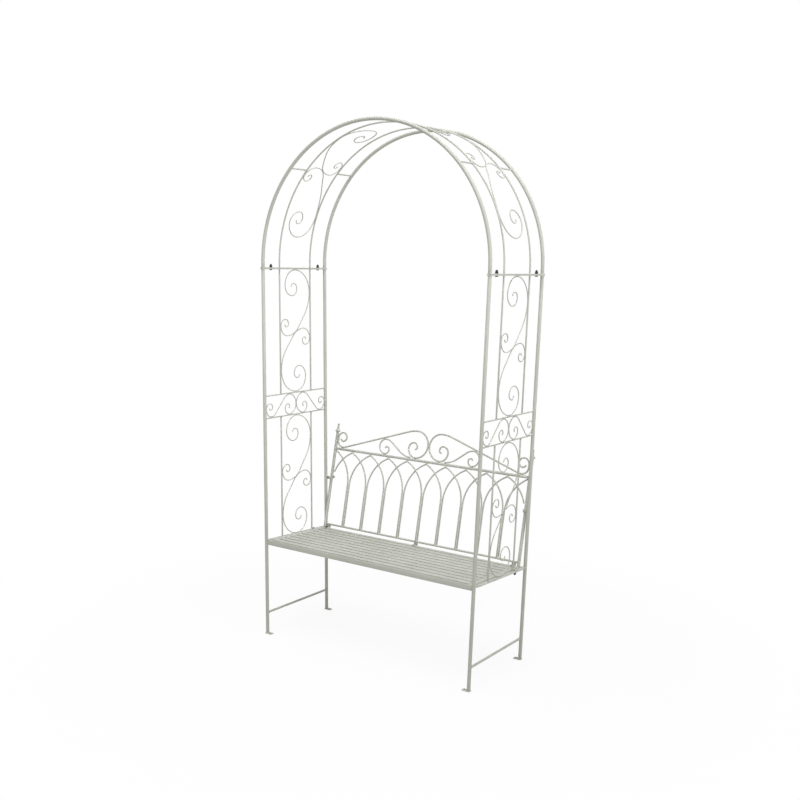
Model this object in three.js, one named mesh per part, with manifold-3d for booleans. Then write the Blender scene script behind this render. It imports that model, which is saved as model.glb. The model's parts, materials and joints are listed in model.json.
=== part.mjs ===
// Garden bench under a round arch, in painted steel rod and tube. Two ladder side panels carry a
// slatted seat, a leaning back with interlaced pointed arches, and an arch in two equal halves
// that is bolted onto the panels. Millimetres; Z is up, X runs along the seat, Y from the front
// of the seat to the back.
import * as THREE from 'three';
import { mergeVertices } from 'three/addons/utils/BufferGeometryUtils.js';
import Module from 'manifold-3d';

const wasm = await Module();
wasm.setup();
const { Manifold, Mesh: SolidMesh } = wasm;

// Driving sizes
const archSpan = 1136; // post centres where the arch is bolted on
const footSpacing = 1062; // post centres at the ground; the side panels lean out a little
const sideDepth = 425; // post centres, front to back
const jointHeight = 1641.5; // where the arch is bolted on
const archLead = 29.5; // straight start of the arch above the joint
const seatHeight = 425; // top of the slats at the panel's middle
const seatSlope = THREE.MathUtils.degToRad(2.4); // the seat falls towards the back
const seatFrontStand = 1.5; // front face of the seat, ahead of the front post centres
const stretcherHeight = 97;
const bandSpacing = 100; // between the two bars of the scroll band
const bandDrop = 3.25; // the band hangs this far below the middle of seat and joint
const backHeight = 370; // top rail above the seat, along the lean
const backSetBack = 5; // the back's plane at seat height, behind the seat's rear edge
const backLean = THREE.MathUtils.degToRad(11.3);
const stileInset = 17; // stile centre inside the post centre, at seat height
const backBays = 10;
const crestRise = 122; // height of the big crest loops
const bottomRailUp = 8; // bottom rail's centre line, along the lean

// Stock the pieces are made from
const fitGap = 0.3; // between pieces that are welded or rest on each other
const postRadius = 7.5;
const tubeWall = 1.5;
const innerRodRadius = 3.5;
const wireRadius = 2.25;
const bandBarRadius = 3;
const stretcherRadius = 5;
const stileRadius = 7;
const topRailRadius = 5.5;
const bottomRailRadius = 4.5;
const archBarRadius = 3.5;
const crestRadius = 4;
const crestCurlRadius = 3.5;
const flatThickness = 4;
const jointBarWidth = 20;
const seatBarWidth = 36;
const seatBarLip = 5; // past the outer faces of the posts
const earWidth = 18; // the seat's bolt ears, over the seat bars
const earReach = 18;
const earInset = 91.5; // ahead of the rear post centres
const angleLeg = 20;
const angleHeight = 22;
const angleThickness = 3;
const slatCount = 13;
const slatWidth = 17;
const bearerThickness = 4;
const bearerWidth = 18;
const weldBite = 0.3; // how far welded pieces of one node reach into each other

// Small parts
const boltRadius = 3;
const boltHoleRadius = 3.4;
const nutRadius = 6.8;
const nutThickness = 7;
const domeHeight = 8;
const boltHeadRadius = 6.2;
const boltHeadHeight = 3.6;
const footLength = 28;
const footWidth = 20;
const footThickness = 3;
const footHoleRadius = 3;
const lugHeight = 14;
const lugThickness = 3;
const lugReach = 8;
const lugStand = 0.6; // the lug's back face behind the back of the post
const tabWidth = 20;
const tabThickness = 3;
const tabReach = 20;
const spigotRadius = 5.2;
const spigotLength = 40;
const finialRadius = 13;
const collarHeight = 7;
const finialConeRadius = 9;
const finialTipRadius = 4.5;
const finialConeHeight = 23;
const finialBallRadius = 5.5;
const finialNeck = 20;

// Shares and counts
const innerRodShare = 0.247; // inner rods, out from the panel's middle, of its depth
const jointBoltShare = 0.38;
const archBand = 137; // first scroll above the joint, along the curve
const archScrollLength = 642;
const archCrossing = 3; // the two scrolls touch this far above their middle on the arch
const panelCrossing = -5; // and below it on the panels
const tieHeight = 457;
const bigCurlShare = 0.69; // each quarter turn of a big spiral against the one before
const smallCurlShare = 0.68;
const bigCurlQuarters = 6;
const smallCurlQuarters = 5.1;
const smallCurlStart = 0.45; // first quarter of the small spiral, of the half width
const crossLean = THREE.MathUtils.degToRad(56); // of the wires where the two scrolls touch
const diagonalShare = 1.3; // how steeply the scroll's back crosses over
const weldShare = 0.15; // overlap of wires welded to bars, of their radii
const contactShare = 0.7; // touching wires sit this far in, of the wire radius
const bandTopShare = 0.5;
const bandOuterShare = 0.38;
const bandOuterRatio = 0.7;
const bandInnerRatio = 0.64;
const bandOuterQuarters = 5;
const bandInnerQuarters = 4.9;
const springShare = 0.56; // where the pointed arches leave the upright
const crestCurlShare = 0.25; // the curl beside the stile, of the crest's rise
const crestWeldShare = 0.105; // straight length of that curl against the stile
const crestCurlRatio = 0.85;
const crestCurlQuarters = 3.8;
const crestFootShare = 0.5; // bend at the low end of the long rising run
const crestBendShare = 1.4; // bend at its high end
const bigLoopRatio = 0.67;
const bigLoopQuarters = 3.9;
const smallLoopRatio = 0.62;
const smallLoopQuarters = 3.1;
const tailTurnShare = 2.05; // slope of the small S's tail, of the long rod's slope
const tailTopShare = 1.6; // bends of that tail, of its loop
const tailFootShare = 3;
const curlPlaceShare = 0.224;
const tabPlaceShare = 0.478;
const stileBoltShare = 0.62;
const bearerShare = 1 / 3;
const turningShare = 1 / 3; // steps of the turned collar and ball

// Roundness of the facets
const sagAllowed = 2; // how far a facet may cut inside its curve
const fewestPerTurn = 11;
const tubeSides = 12;
const archSides = 8;
const rodSides = 8;
const barSides = 6; // thinner rods of the back
const wireSides = 5;
const boltSides = 8;
const holeSegments = 4;

const half = 1 / 2;
const quarterTurn = Math.PI * half;
const archRadius = archSpan * half;
const footX = footSpacing * half;
const postY = sideDepth * half;
const innerRodY = sideDepth * innerRodShare;
const boltY = sideDepth * jointBoltShare;

// The stile leans against the lug on the rear post, and the seat ends just ahead of the back.
const lugBack = postY + postRadius + lugStand;
const stileBoltUp = backHeight * stileBoltShare;
const stileBoltY = lugBack + fitGap + stileRadius + lugHeight * half * Math.tan(backLean);
const backFootDepth = stileBoltY - Math.sin(backLean) * stileBoltUp;
const seatFront = -postY - seatFrontStand;
const seatBack = backFootDepth - backSetBack;
const bandHeight = (jointHeight + seatHeight - bandSpacing) * half - bandDrop;
const bandTop = bandHeight + bandSpacing;
const seatBarTop = -angleThickness - fitGap; // below the slats' top
const seatBarBottom = seatBarTop - flatThickness;
const earPlace = postY - earInset;

const paint = new THREE.MeshStandardMaterial({ name: 'frame_paint', color: 0xc3c4b6, roughness: 0.55, metalness: 0 });
const black = new THREE.MeshStandardMaterial({ name: 'black_bolts', color: 0x1b1b1a, roughness: 0.4, metalness: 0.2 });

const bench = new THREE.Group();
bench.name = 'arched_garden_bench';

function addPiece(name, geometry, material) {
  const mesh = new THREE.Mesh(geometry, material);
  mesh.name = name;
  bench.add(mesh);
}

// Solids: welding and cutting

function toSolid(geometry) {
  const bare = geometry.clone();
  bare.deleteAttribute('normal');
  bare.deleteAttribute('uv');
  const merged = mergeVertices(bare);
  const corners = [];
  for (let i = 0; i < merged.index.count; i += 3) {
    const [a, b, c] = [0, 1, 2].map((k) => merged.index.array[i + k]);
    if (a !== b && b !== c && c !== a) corners.push(a, b, c);
  }
  return new Manifold(new SolidMesh({
    numProp: 3,
    vertProperties: new Float32Array(merged.attributes.position.array),
    triVerts: new Uint32Array(corners),
  }));
}

function toGeometry(solid) {
  const mesh = solid.getMesh();
  const geometry = new THREE.BufferGeometry();
  geometry.setAttribute('position', new THREE.BufferAttribute(mesh.vertProperties, 3));
  geometry.setIndex(new THREE.BufferAttribute(mesh.triVerts, 1));
  geometry.computeVertexNormals();
  return geometry;
}

function weld(geometries) {
  return toGeometry(Manifold.union(geometries.map(toSolid)));
}

function cut(geometry, tools) {
  return toGeometry(toSolid(geometry).subtract(Manifold.union(tools.map(toSolid))));
}

// Lines to bend rod and tube along

// A line through given points; every point becomes one section of the bent rod.
class PointLine extends THREE.Curve {
  constructor(points) {
    super();
    this.points = points;
  }

  getPoint(t, target = new THREE.Vector3()) {
    const last = this.points.length - 1;
    const at = THREE.MathUtils.clamp(t, 0, 1) * last;
    const index = Math.min(Math.floor(at), last - 1);
    return target.lerpVectors(this.points[index], this.points[index + 1], at - index);
  }

  getUtoTmapping(u) {
    return u;
  }
}

function facetsFor(turn, radius) {
  const bySag = Math.abs(turn) / (2 * Math.acos(Math.max(0, 1 - sagAllowed / radius)));
  const byTurn = (Math.abs(turn) * fewestPerTurn) / (4 * quarterTurn);
  return Math.max(1, Math.ceil(Math.max(bySag, byTurn)));
}

// Walks straight runs and arcs on a flat sheet without a kink. A positive turn bends left.
function walk(start, heading, moves) {
  const points = [start.clone()];
  let at = start.clone();
  let angle = heading;
  for (const move of moves) {
    if (move.run !== undefined) {
      const ahead = new THREE.Vector2(Math.cos(angle), Math.sin(angle));
      at = at.clone().addScaledVector(ahead, move.run);
      points.push(at);
      continue;
    }
    const side = Math.sign(move.turn) * move.radius;
    const left = new THREE.Vector2(-Math.sin(angle), Math.cos(angle));
    const centre = at.clone().addScaledVector(left, side);
    const facets = facetsFor(move.turn, move.radius);
    for (let i = 1; i <= facets; i++) {
      const turned = angle + (move.turn * i) / facets;
      at = centre.clone().add(new THREE.Vector2(Math.sin(turned) * side, -Math.cos(turned) * side));
      points.push(at);
    }
    angle += move.turn;
  }
  return points;
}

// Quarter turns of a spiral, each tighter than the last; the last may be part of a quarter.
function spiral(radius, ratio, quarters, side) {
  const moves = [];
  for (let i = 0; i < quarters; i++) {
    const part = Math.min(1, quarters - i);
    moves.push({ turn: side * quarterTurn * part, radius: radius * ratio ** i });
  }
  return moves;
}

function roundShape(radius, sides) {
  const corners = [];
  for (let i = 0; i < sides; i++) {
    const angle = ((i + half) * 4 * quarterTurn) / sides;
    corners.push(new THREE.Vector2(Math.cos(angle) * radius, Math.sin(angle) * radius));
  }
  return new THREE.Shape(corners);
}

function bend(points, radius, sides, wall = 0) {
  const shape = roundShape(radius, sides);
  if (wall > 0) shape.holes.push(roundShape(radius - wall, sides));
  return new THREE.ExtrudeGeometry(shape, { steps: points.length - 1, extrudePath: new PointLine(points) });
}

function rod(from, to, radius, sides = rodSides) {
  return bend([from, to], radius, sides);
}

function box(low, high) {
  const size = high.clone().sub(low);
  const geometry = new THREE.BoxGeometry(size.x, size.y, size.z);
  const middle = low.clone().add(high).multiplyScalar(half);
  return geometry.translate(middle.x, middle.y, middle.z);
}

const at = (x, y, z) => new THREE.Vector3(x, y, z);

// Where flat drawings are laid: on a side panel, on the arch, on the sloping seat, on the back

// The panels stand closer together at the ground than at the arch.
const panelX = (z) => footX + ((archRadius - footX) * z) / jointHeight;
const onPanel = (side) => (p) => at(side * panelX(p.y), p.x, p.y);
const seatX = panelX(seatHeight);
const stileX = seatX - stileInset;
const stileSpacing = stileX + stileX;

const seatPlace = new THREE.Matrix4().makeRotationX(-seatSlope).setPosition(0, 0, seatHeight);
const ontoSeat = (geometry) => geometry.applyMatrix4(seatPlace);
const onSeat = (x, y, up) => at(x, y, up).applyMatrix4(seatPlace);

function onArch(p) {
  const start = jointHeight + flatThickness;
  const along = Math.max(0, p.y - archLead);
  const angle = along / archRadius;
  const rise = Math.min(p.y, archLead) + Math.sin(angle) * archRadius;
  return at(-Math.cos(angle) * archRadius, p.x, start + rise);
}

function onBack(x, up, behind = 0) {
  const y = backFootDepth + Math.sin(backLean) * up + Math.cos(backLean) * behind;
  const z = seatHeight + Math.cos(backLean) * up - Math.sin(backLean) * behind;
  return at(x, y, z);
}

// Scrolls

// One C-scroll of a pair that fills a bay between two rods and two bars. The big spiral rolls
// against the bar at the end, the wire follows the far rod, crosses over and ends in a small
// spiral against the near rod. Its twin is the same wire turned half round.
function scrollLine(halfWidth, halfHeight) {
  const bigRadius = halfWidth;
  const smallRadius = halfWidth * smallCurlStart;
  const theta = diagonalShare * Math.atan2(halfWidth, halfHeight - bigRadius);
  const offset = wireRadius * contactShare;
  const start = new THREE.Vector2(-Math.cos(crossLean) * offset, Math.sin(crossLean) * offset);
  const hookRadius = (halfWidth + start.x - smallRadius) / Math.cos(crossLean);
  const swing = { turn: crossLean - theta, radius: hookRadius };
  const leave = walk(start, quarterTurn - crossLean, [swing]).pop();
  const across = halfWidth - leave.x;
  const up = halfHeight - bigRadius - leave.y;
  const run = across / Math.tan(theta * half) - up;
  const backRadius = (up * Math.sin(theta) - across * Math.cos(theta)) / (1 - Math.cos(theta));
  const climb = walk(start, quarterTurn - crossLean, [
    swing,
    { run },
    { turn: theta, radius: backRadius },
    ...spiral(bigRadius, bigCurlShare, bigCurlQuarters, 1),
  ]);
  const descent = walk(start, -quarterTurn - crossLean, [
    { turn: crossLean - quarterTurn, radius: hookRadius },
    ...spiral(smallRadius, smallCurlShare, smallCurlQuarters, -1),
  ]);
  return [...climb.reverse(), ...descent.slice(1)];
}

function scrollPair(halfWidth, low, high, crossing, place, mirror) {
  const middle = (low + high) * half + crossing;
  const wires = [1, -1].map((way) => {
    const halfHeight = way * mirror > 0 ? high - middle : middle - low;
    const points = scrollLine(halfWidth, halfHeight).map((p) => place(new THREE.Vector2(way * p.x, middle + way * mirror * p.y)));
    return bend(points, wireRadius, wireSides);
  });
  return weld(wires);
}

const bayHalfWidth = innerRodY - innerRodRadius - wireRadius - fitGap;

// The band across each panel: two bars with S-scrolls, mirrored front to back.
function bandScroll() {
  const clear = bandSpacing - (bandBarRadius + wireRadius) * 2 * (1 - weldShare);
  const reach = postY - postRadius - fitGap - wireRadius;
  const topRadius = clear * bandTopShare;
  const outerRadius = clear * bandOuterShare;
  const across = reach - outerRadius - topRadius - wireRadius * contactShare;
  const radii = topRadius + outerRadius;
  const apart = Math.hypot(across, clear - radii);
  const slope = Math.atan2(clear - radii, across) + Math.asin(radii / apart);
  const run = Math.sqrt(apart ** 2 - radii ** 2);
  const low = bandHeight + (bandSpacing - clear) * half;
  const foot = new THREE.Vector2(-reach + outerRadius, low);
  const curl = walk(foot, Math.PI, spiral(outerRadius, bandOuterRatio, bandOuterQuarters, -1));
  const rise = walk(foot, 0, [
    { turn: slope, radius: outerRadius },
    { run },
    { turn: -slope, radius: topRadius },
    ...spiral(topRadius, 1, 1, -1),
    ...spiral(clear - topRadius, bandInnerRatio, bandInnerQuarters, -1),
  ]);
  return [...curl.reverse(), ...rise.slice(1)];
}

function scrollBand(side) {
  const place = onPanel(side);
  const line = bandScroll();
  const end = postY - postRadius - fitGap;
  const bars = [bandHeight, bandTop].map((z) => rod(
    place(new THREE.Vector2(-end, z)),
    place(new THREE.Vector2(end, z)),
    bandBarRadius,
  ));
  const wires = [1, -1].map((way) => bend(
    line.map((p) => place(new THREE.Vector2(way * p.x, p.y))),
    wireRadius,
    wireSides,
  ));
  return weld([...bars, ...wires]);
}

// Side panels

function tube(from, to, radius, sides) {
  return bend([from, to], radius, sides, tubeWall);
}

// Flat foot pointing inwards, with a hole for a ground peg.
function footPlate(side, y) {
  const plate = new THREE.Shape([
    new THREE.Vector2(-postRadius, -footWidth * half),
    new THREE.Vector2(footLength, -footWidth * half),
    new THREE.Vector2(footLength, footWidth * half),
    new THREE.Vector2(-postRadius, footWidth * half),
  ]);
  const hole = new THREE.Path();
  hole.absarc(footLength - footWidth * half, 0, footHoleRadius, 0, 4 * quarterTurn, true);
  plate.holes.push(hole);
  const geometry = new THREE.ExtrudeGeometry(plate, {
    depth: footThickness,
    bevelEnabled: false,
    curveSegments: holeSegments,
  });
  if (side > 0) geometry.rotateZ(2 * quarterTurn);
  return geometry.translate(side * footX, y, 0);
}

function post(side, y) {
  const place = onPanel(side);
  const low = place(new THREE.Vector2(y, footThickness - weldBite));
  const high = place(new THREE.Vector2(y, jointHeight - flatThickness - fitGap));
  return [footPlate(side, y), tube(low, high, postRadius, tubeSides)];
}

// The stile passes beside the rear post; a lug on the post takes the bolt between them.
const stileBolt = onBack(stileX, stileBoltUp);

function rearPost(side) {
  const outer = side * (panelX(stileBolt.z) - postRadius * half);
  const inner = side * (stileX - lugReach);
  const lug = box(
    at(Math.min(outer, inner), lugBack - lugThickness, stileBolt.z - lugHeight * half),
    at(Math.max(outer, inner), lugBack, stileBolt.z + lugHeight * half),
  );
  const hole = rod(
    at(side * stileX, lugBack - 2 * lugThickness, stileBolt.z),
    at(side * stileX, lugBack + lugThickness, stileBolt.z),
    boltHoleRadius,
  );
  return weld([...post(side, postY), cut(lug, [hole])]);
}

// A flat bar lying across the panel with a hole at each given place.
function flatBar(x, width, reach, bottom, top, holes) {
  const plate = new THREE.Shape([
    new THREE.Vector2(x - width * half, -reach),
    new THREE.Vector2(x + width * half, -reach),
    new THREE.Vector2(x + width * half, reach),
    new THREE.Vector2(x - width * half, reach),
  ]);
  for (const place of holes) {
    const hole = new THREE.Path();
    hole.absarc(place.x, place.y, boltHoleRadius, 0, 4 * quarterTurn, true);
    plate.holes.push(hole);
  }
  const geometry = new THREE.ExtrudeGeometry(plate, {
    depth: top - bottom,
    bevelEnabled: false,
    curveSegments: holeSegments,
  });
  return geometry.translate(0, 0, bottom);
}

const jointHoles = (side) => [
  new THREE.Vector2(side * archRadius, -boltY),
  new THREE.Vector2(side * archRadius, boltY),
];

// The seat fits between the panels at its lowest edge. Its front bolts go through the corners,
// its rear ones through ears that reach out over the seat bars.
const seatBarOuter = seatX + postRadius + seatBarLip;
const seatBarInner = seatBarOuter - seatBarWidth;
const seatLowest = onSeat(0, seatBack, -angleHeight).z;
const seatReach = panelX(seatLowest) - postRadius - 2 * fitGap;
const seatHoles = (side) => [
  new THREE.Vector2(side * (seatReach - boltHeadRadius - tabThickness), seatFront + angleLeg),
  new THREE.Vector2(side * (seatReach + earReach * half), earPlace),
];

function sidePanel(side, name) {
  const place = onPanel(side);
  const barReach = postY + postRadius;
  const between = postY - postRadius - fitGap;
  addPiece(`${name}_front_post`, weld(post(side, -postY)), paint);
  addPiece(`${name}_rear_post`, rearPost(side), paint);
  addPiece(
    `${name}_joint_bar`,
    flatBar(
      side * archRadius,
      jointBarWidth,
      barReach,
      jointHeight - flatThickness,
      jointHeight - fitGap * half,
      jointHoles(side),
    ),
    paint,
  );
  const seatBarX = side * (seatBarOuter + seatBarInner) * half;
  addPiece(
    `${name}_seat_bar`,
    ontoSeat(flatBar(seatBarX, seatBarWidth, between, seatBarBottom, seatBarTop, seatHoles(side))),
    paint,
  );
  const rungEnds = [-between, between].map((y) => place(new THREE.Vector2(y, stretcherHeight)));
  addPiece(`${name}_stretcher`, rod(rungEnds[0], rungEnds[1], stretcherRadius), paint);
  addPiece(`${name}_scroll_band`, scrollBand(side), paint);
  // The lower bay stands on the sloping seat bar.
  const overSeatBar = (y) => onSeat(0, y, seatBarTop + fitGap + innerRodRadius * Math.tan(seatSlope)).z;
  const bays = {
    upper: [() => bandTop + bandBarRadius + fitGap, jointHeight - flatThickness - fitGap],
    lower: [overSeatBar, bandHeight - bandBarRadius - fitGap],
  };
  for (const [bay, [lowAt, high]] of Object.entries(bays)) {
    for (const [end, y] of [['front', -innerRodY], ['rear', innerRodY]]) {
      const [foot, head] = [lowAt(y), high].map((z) => place(new THREE.Vector2(y, z)));
      addPiece(`${name}_${bay}_${end}_rod`, rod(foot, head, innerRodRadius), paint);
    }
    const low = lowAt(0) + wireRadius + fitGap * half;
    addPiece(`${name}_${bay}_scrolls`, scrollPair(bayHalfWidth, low, high - wireRadius, panelCrossing, place, 1), paint);
  }
}

// Arch: the left half is drawn, the right half is the same piece turned half round

const archFoot = fitGap;
const archTop = archLead + archRadius * quarterTurn;
const archEnd = archTop - fitGap * half - (postRadius * spigotLength * half) / archRadius;

function archLine(y, low, high) {
  const bent = high - archLead - spigotLength;
  const facets = facetsFor(bent / archRadius, archRadius);
  const points = [onArch(new THREE.Vector2(y, low))];
  for (let i = 0; i <= facets; i++) {
    points.push(onArch(new THREE.Vector2(y, archLead + (bent * i) / facets)));
  }
  points.push(onArch(new THREE.Vector2(y, high)));
  return points;
}

// The front tube carries a plug that slides into the open end of the other half's tube.
function archTube(y, withSpigot) {
  const end = archEnd;
  const body = bend(archLine(y, archFoot, end), postRadius, archSides, tubeWall);
  if (!withSpigot) return body;
  const tip = end + spigotLength;
  const line = [end - spigotLength, end, tip].map((s) => onArch(new THREE.Vector2(y, s)));
  const plugEnd = [end - spigotLength, end - spigotLength * half].map((s) => onArch(new THREE.Vector2(y, s)));
  return weld([
    body,
    bend(line, spigotRadius, archSides),
    bend(plugEnd, postRadius - tubeWall * half, archSides),
  ]);
}

function archRod(y) {
  const inner = bend(archLine(y, archFoot, archEnd), innerRodRadius, rodSides);
  const side = Math.sign(y);
  const tie = [side * (postY - postRadius - fitGap), y].map((reach) => onArch(new THREE.Vector2(reach, tieHeight)));
  return weld([inner, bend(tie, archBarRadius, rodSides)]);
}

function archHalf(name, turned) {
  const add = (piece, geometry) => {
    if (turned) geometry.rotateZ(2 * quarterTurn);
    addPiece(`${name}_${piece}`, geometry, paint);
  };
  const ends = turned ? ['rear', 'front'] : ['front', 'rear'];
  add(`${ends[0]}_tube`, archTube(-postY, true));
  add(`${ends[1]}_tube`, archTube(postY, false));
  add(`${ends[0]}_rod`, archRod(-innerRodY));
  add(`${ends[1]}_rod`, archRod(innerRodY));
  const low = jointHeight + fitGap * half;
  const high = jointHeight + flatThickness;
  const bar = flatBar(-archRadius, jointBarWidth, postY + postRadius, low, high, jointHoles(-1));
  add('foot_bar', bar);
  const far = archBand + archScrollLength;
  add('scrolls', scrollPair(bayHalfWidth, archBand, far, archCrossing, onArch, -1));
}

// Seat

function rectangle(left, front, right, back) {
  return [
    new THREE.Vector2(left, front),
    new THREE.Vector2(right, front),
    new THREE.Vector2(right, back),
    new THREE.Vector2(left, back),
  ];
}

// The flat top of the seat's frame: a ring of flat bar with an ear on each side.
function seatRing() {
  const shape = new THREE.Shape(rectangle(-seatReach, seatFront, seatReach, seatBack));
  shape.holes.push(new THREE.Path(rectangle(
    -seatReach + angleLeg,
    seatFront + angleLeg,
    seatReach - angleLeg,
    seatBack - angleLeg,
  ).reverse()));
  const ring = new THREE.ExtrudeGeometry(shape, { depth: angleThickness, bevelEnabled: false });
  const ears = [-1, 1].map((side) => {
    const ends = [side * (seatReach - weldBite), side * (seatReach + earReach)];
    return box(
      at(Math.min(...ends), earPlace - earWidth * half, 0),
      at(Math.max(...ends), earPlace + earWidth * half, angleThickness),
    );
  });
  return weld([ring, ...ears]).translate(0, 0, -angleThickness);
}

const tabBoltY = seatBack - angleLeg * half - angleThickness;
const tabPlaces = [-1, 0, 1].map((way) => way * stileSpacing * tabPlaceShare);

// Front and rear rails are angles with their legs down. The ends are flat and lie on the seat
// bars, so the rear leg stops between them; the front one passes before them.
function seatFrame() {
  const bolts = [...seatHoles(-1), ...seatHoles(1), ...tabPlaces.map((x) => new THREE.Vector2(x, tabBoltY))];
  const holes = bolts.map((place) => rod(
    at(place.x, place.y, -angleThickness - angleThickness),
    at(place.x, place.y, angleThickness),
    boltHoleRadius,
  ));
  const rails = [[seatFront, seatReach], [seatBack - angleThickness, seatBarInner - fitGap]];
  const legs = rails.map(([y, reach]) => box(
    at(-reach, y, -angleHeight),
    at(reach, y + angleThickness, -weldBite),
  ));
  return ontoSeat(weld([...legs, cut(seatRing(), holes)]));
}

function seatDeck() {
  const room = seatBack - seatFront - angleLeg * 2;
  const space = (room - slatCount * slatWidth) / (slatCount + 1);
  const under = -angleThickness - fitGap;
  const reach = seatReach - angleLeg - fitGap;
  const bars = [];
  for (let i = 0; i < slatCount; i++) {
    const front = seatFront + angleLeg + space + i * (slatWidth + space);
    bars.push(box(at(-reach, front, under - weldBite), at(reach, front + slatWidth, 0)));
  }
  for (const way of [-1, 1]) {
    const x = way * seatReach * bearerShare;
    bars.push(box(
      at(x - bearerWidth * half, seatFront + angleThickness + fitGap, under - bearerThickness),
      at(x + bearerWidth * half, seatBack - angleThickness - fitGap, under),
    ));
  }
  return ontoSeat(weld(bars));
}

// Backrest

// The stiles stand on the seat's rear edge.
const stileFoot = (onSeat(0, seatBack, 0).z - seatHeight) / Math.cos(backLean);

// Turned stile: a straight bar, a wide collar, a cone and a small ball, drilled for its bolt.
function stile(side) {
  const foot = stileFoot;
  const neck = backHeight + crestRise * half + finialNeck;
  const collar = neck + collarHeight;
  const cone = collar + finialConeHeight;
  const ballMiddle = cone + finialBallRadius * contactShare;
  const outline = [
    new THREE.Vector2(0, foot),
    new THREE.Vector2(stileRadius, foot),
    new THREE.Vector2(stileRadius, neck),
    new THREE.Vector2(finialRadius, neck + collarHeight * turningShare),
    new THREE.Vector2(finialRadius, neck + collarHeight * (1 - turningShare)),
    new THREE.Vector2(finialConeRadius, collar),
    new THREE.Vector2(finialTipRadius, cone),
    new THREE.Vector2(finialBallRadius, ballMiddle + finialBallRadius * turningShare),
    new THREE.Vector2(finialTipRadius, ballMiddle + finialBallRadius),
    new THREE.Vector2(0, ballMiddle + finialBallRadius),
  ];
  const turned = new THREE.LatheGeometry(outline, tubeSides);
  const stand = new THREE.Matrix4().makeRotationX(quarterTurn - backLean);
  turned.applyMatrix4(stand);
  turned.translate(side * stileX, backFootDepth, seatHeight);
  const hole = rod(
    at(side * stileX, stileBolt.y - 2 * stileRadius, stileBolt.z),
    at(side * stileX, stileBolt.y + 2 * stileRadius, stileBolt.z),
    boltHoleRadius,
  );
  return cut(turned, [hole]);
}

const railReach = stileX - stileRadius - fitGap;

function bottomRail() {
  const up = bottomRailUp;
  const bar = rod(onBack(-railReach, up), onBack(railReach, up), bottomRailRadius);
  const back = onBack(0, up).y;
  const height = onBack(0, up).z - onSeat(0, back, 0).z;
  const tabs = tabPlaces.flatMap((x) => {
    const flat = box(
      at(x - tabWidth * half, back - tabReach - tabThickness, fitGap),
      at(x + tabWidth * half, back, fitGap + tabThickness),
    );
    const upright = box(
      at(x - tabWidth * half, back - tabThickness, fitGap),
      at(x + tabWidth * half, back, height),
    );
    const hole = rod(
      at(x, tabBoltY, fitGap - tabThickness),
      at(x, tabBoltY, fitGap + tabThickness + tabThickness),
      boltHoleRadius,
    );
    return [cut(flat, [hole]), upright].map(ontoSeat);
  });
  return weld([bar, ...tabs]);
}

// Interlaced pointed arches. Every upright is a pair of rods; one bends left and passes in
// front, the other bends right and passes behind, and both end under the top rail one bay on.
// Beside a stile the same bend starts where it leaves the stile.
function archBars() {
  const bay = stileSpacing / backBays;
  const low = bottomRailUp + bottomRailRadius + fitGap;
  const high = backHeight - topRailRadius - archBarRadius - fitGap;
  const spring = low + (high - low) * springShare;
  const rise = high - spring;
  const beside = archBarRadius * (1 - weldShare);
  const edge = stileRadius + archBarRadius + fitGap;
  const bars = [];
  for (let i = 0; i <= backBays; i++) {
    for (const way of [-1, 1]) {
      if (i + way < 0 || i + way > backBays) continue;
      const atStile = i === 0 || i === backBays;
      const toStile = i + way === 0 || i + way === backBays;
      const x = -stileX + i * bay + way * (atStile ? edge : beside);
      const reach = bay - beside - (toStile ? edge : 0);
      const radius = (reach ** 2 + rise ** 2) / (2 * reach);
      const turn = Math.asin(rise / radius);
      const missed = atStile ? Math.acos(1 - (edge - beside) / radius) : 0;
      const start = new THREE.Vector2(0, atStile ? spring + radius * Math.sin(missed) : low);
      const moves = [{ turn: missed - turn, radius }];
      if (!atStile) moves.unshift({ run: spring - low });
      const line = walk(start, quarterTurn - missed, moves);
      const points = line.map((p) => onBack(x + way * p.x, p.y, way * beside));
      bars.push(bend(points, archBarRadius, barSides));
    }
  }
  return weld(bars);
}

// The long crest rod's way from the curl beside the stile up to the big loop: a tight bend, a
// straight run and a wide bend.
function crestRoute() {
  const base = backHeight + topRailRadius + crestRadius + fitGap;
  const curl = crestRise * crestCurlShare;
  const loop = crestRise * half;
  const footRadius = crestRise * crestFootShare;
  const bendRadius = crestRise * crestBendShare;
  const radii = footRadius + bendRadius;
  const start = new THREE.Vector2(-stileX + stileRadius + crestRadius + fitGap + curl, base);
  const across = -crestRadius - fitGap * half - loop - start.x;
  const fall = crestRise - radii;
  const slope = Math.atan2(fall, across) + Math.asin(radii / Math.hypot(across, fall));
  const run = Math.sqrt(across ** 2 + fall ** 2 - radii ** 2);
  return { start, curl, loop, footRadius, bendRadius, slope, run };
}

// Long crest rod: a curl beside the stile, a rising run and a big loop at the middle.
function crestRod(side) {
  const { start, curl, loop, footRadius, bendRadius, slope, run } = crestRoute();
  const outer = walk(start, 2 * quarterTurn, [
    { turn: -quarterTurn, radius: curl },
    { run: crestRise * crestWeldShare },
    ...spiral(curl * crestCurlRatio, crestCurlRatio, crestCurlQuarters, -1),
  ]);
  const inner = walk(start, 0, [
    { turn: slope, radius: footRadius },
    { run },
    { turn: -slope, radius: bendRadius },
    ...spiral(loop, 1, 2, -1),
    ...spiral(loop * bigLoopRatio, bigLoopRatio, bigLoopQuarters, -1),
  ]);
  const line = [...outer.reverse(), ...inner.slice(1)];
  return bend(line.map((p) => onBack(-side * p.x, p.y)), crestRadius, barSides);
}

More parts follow.
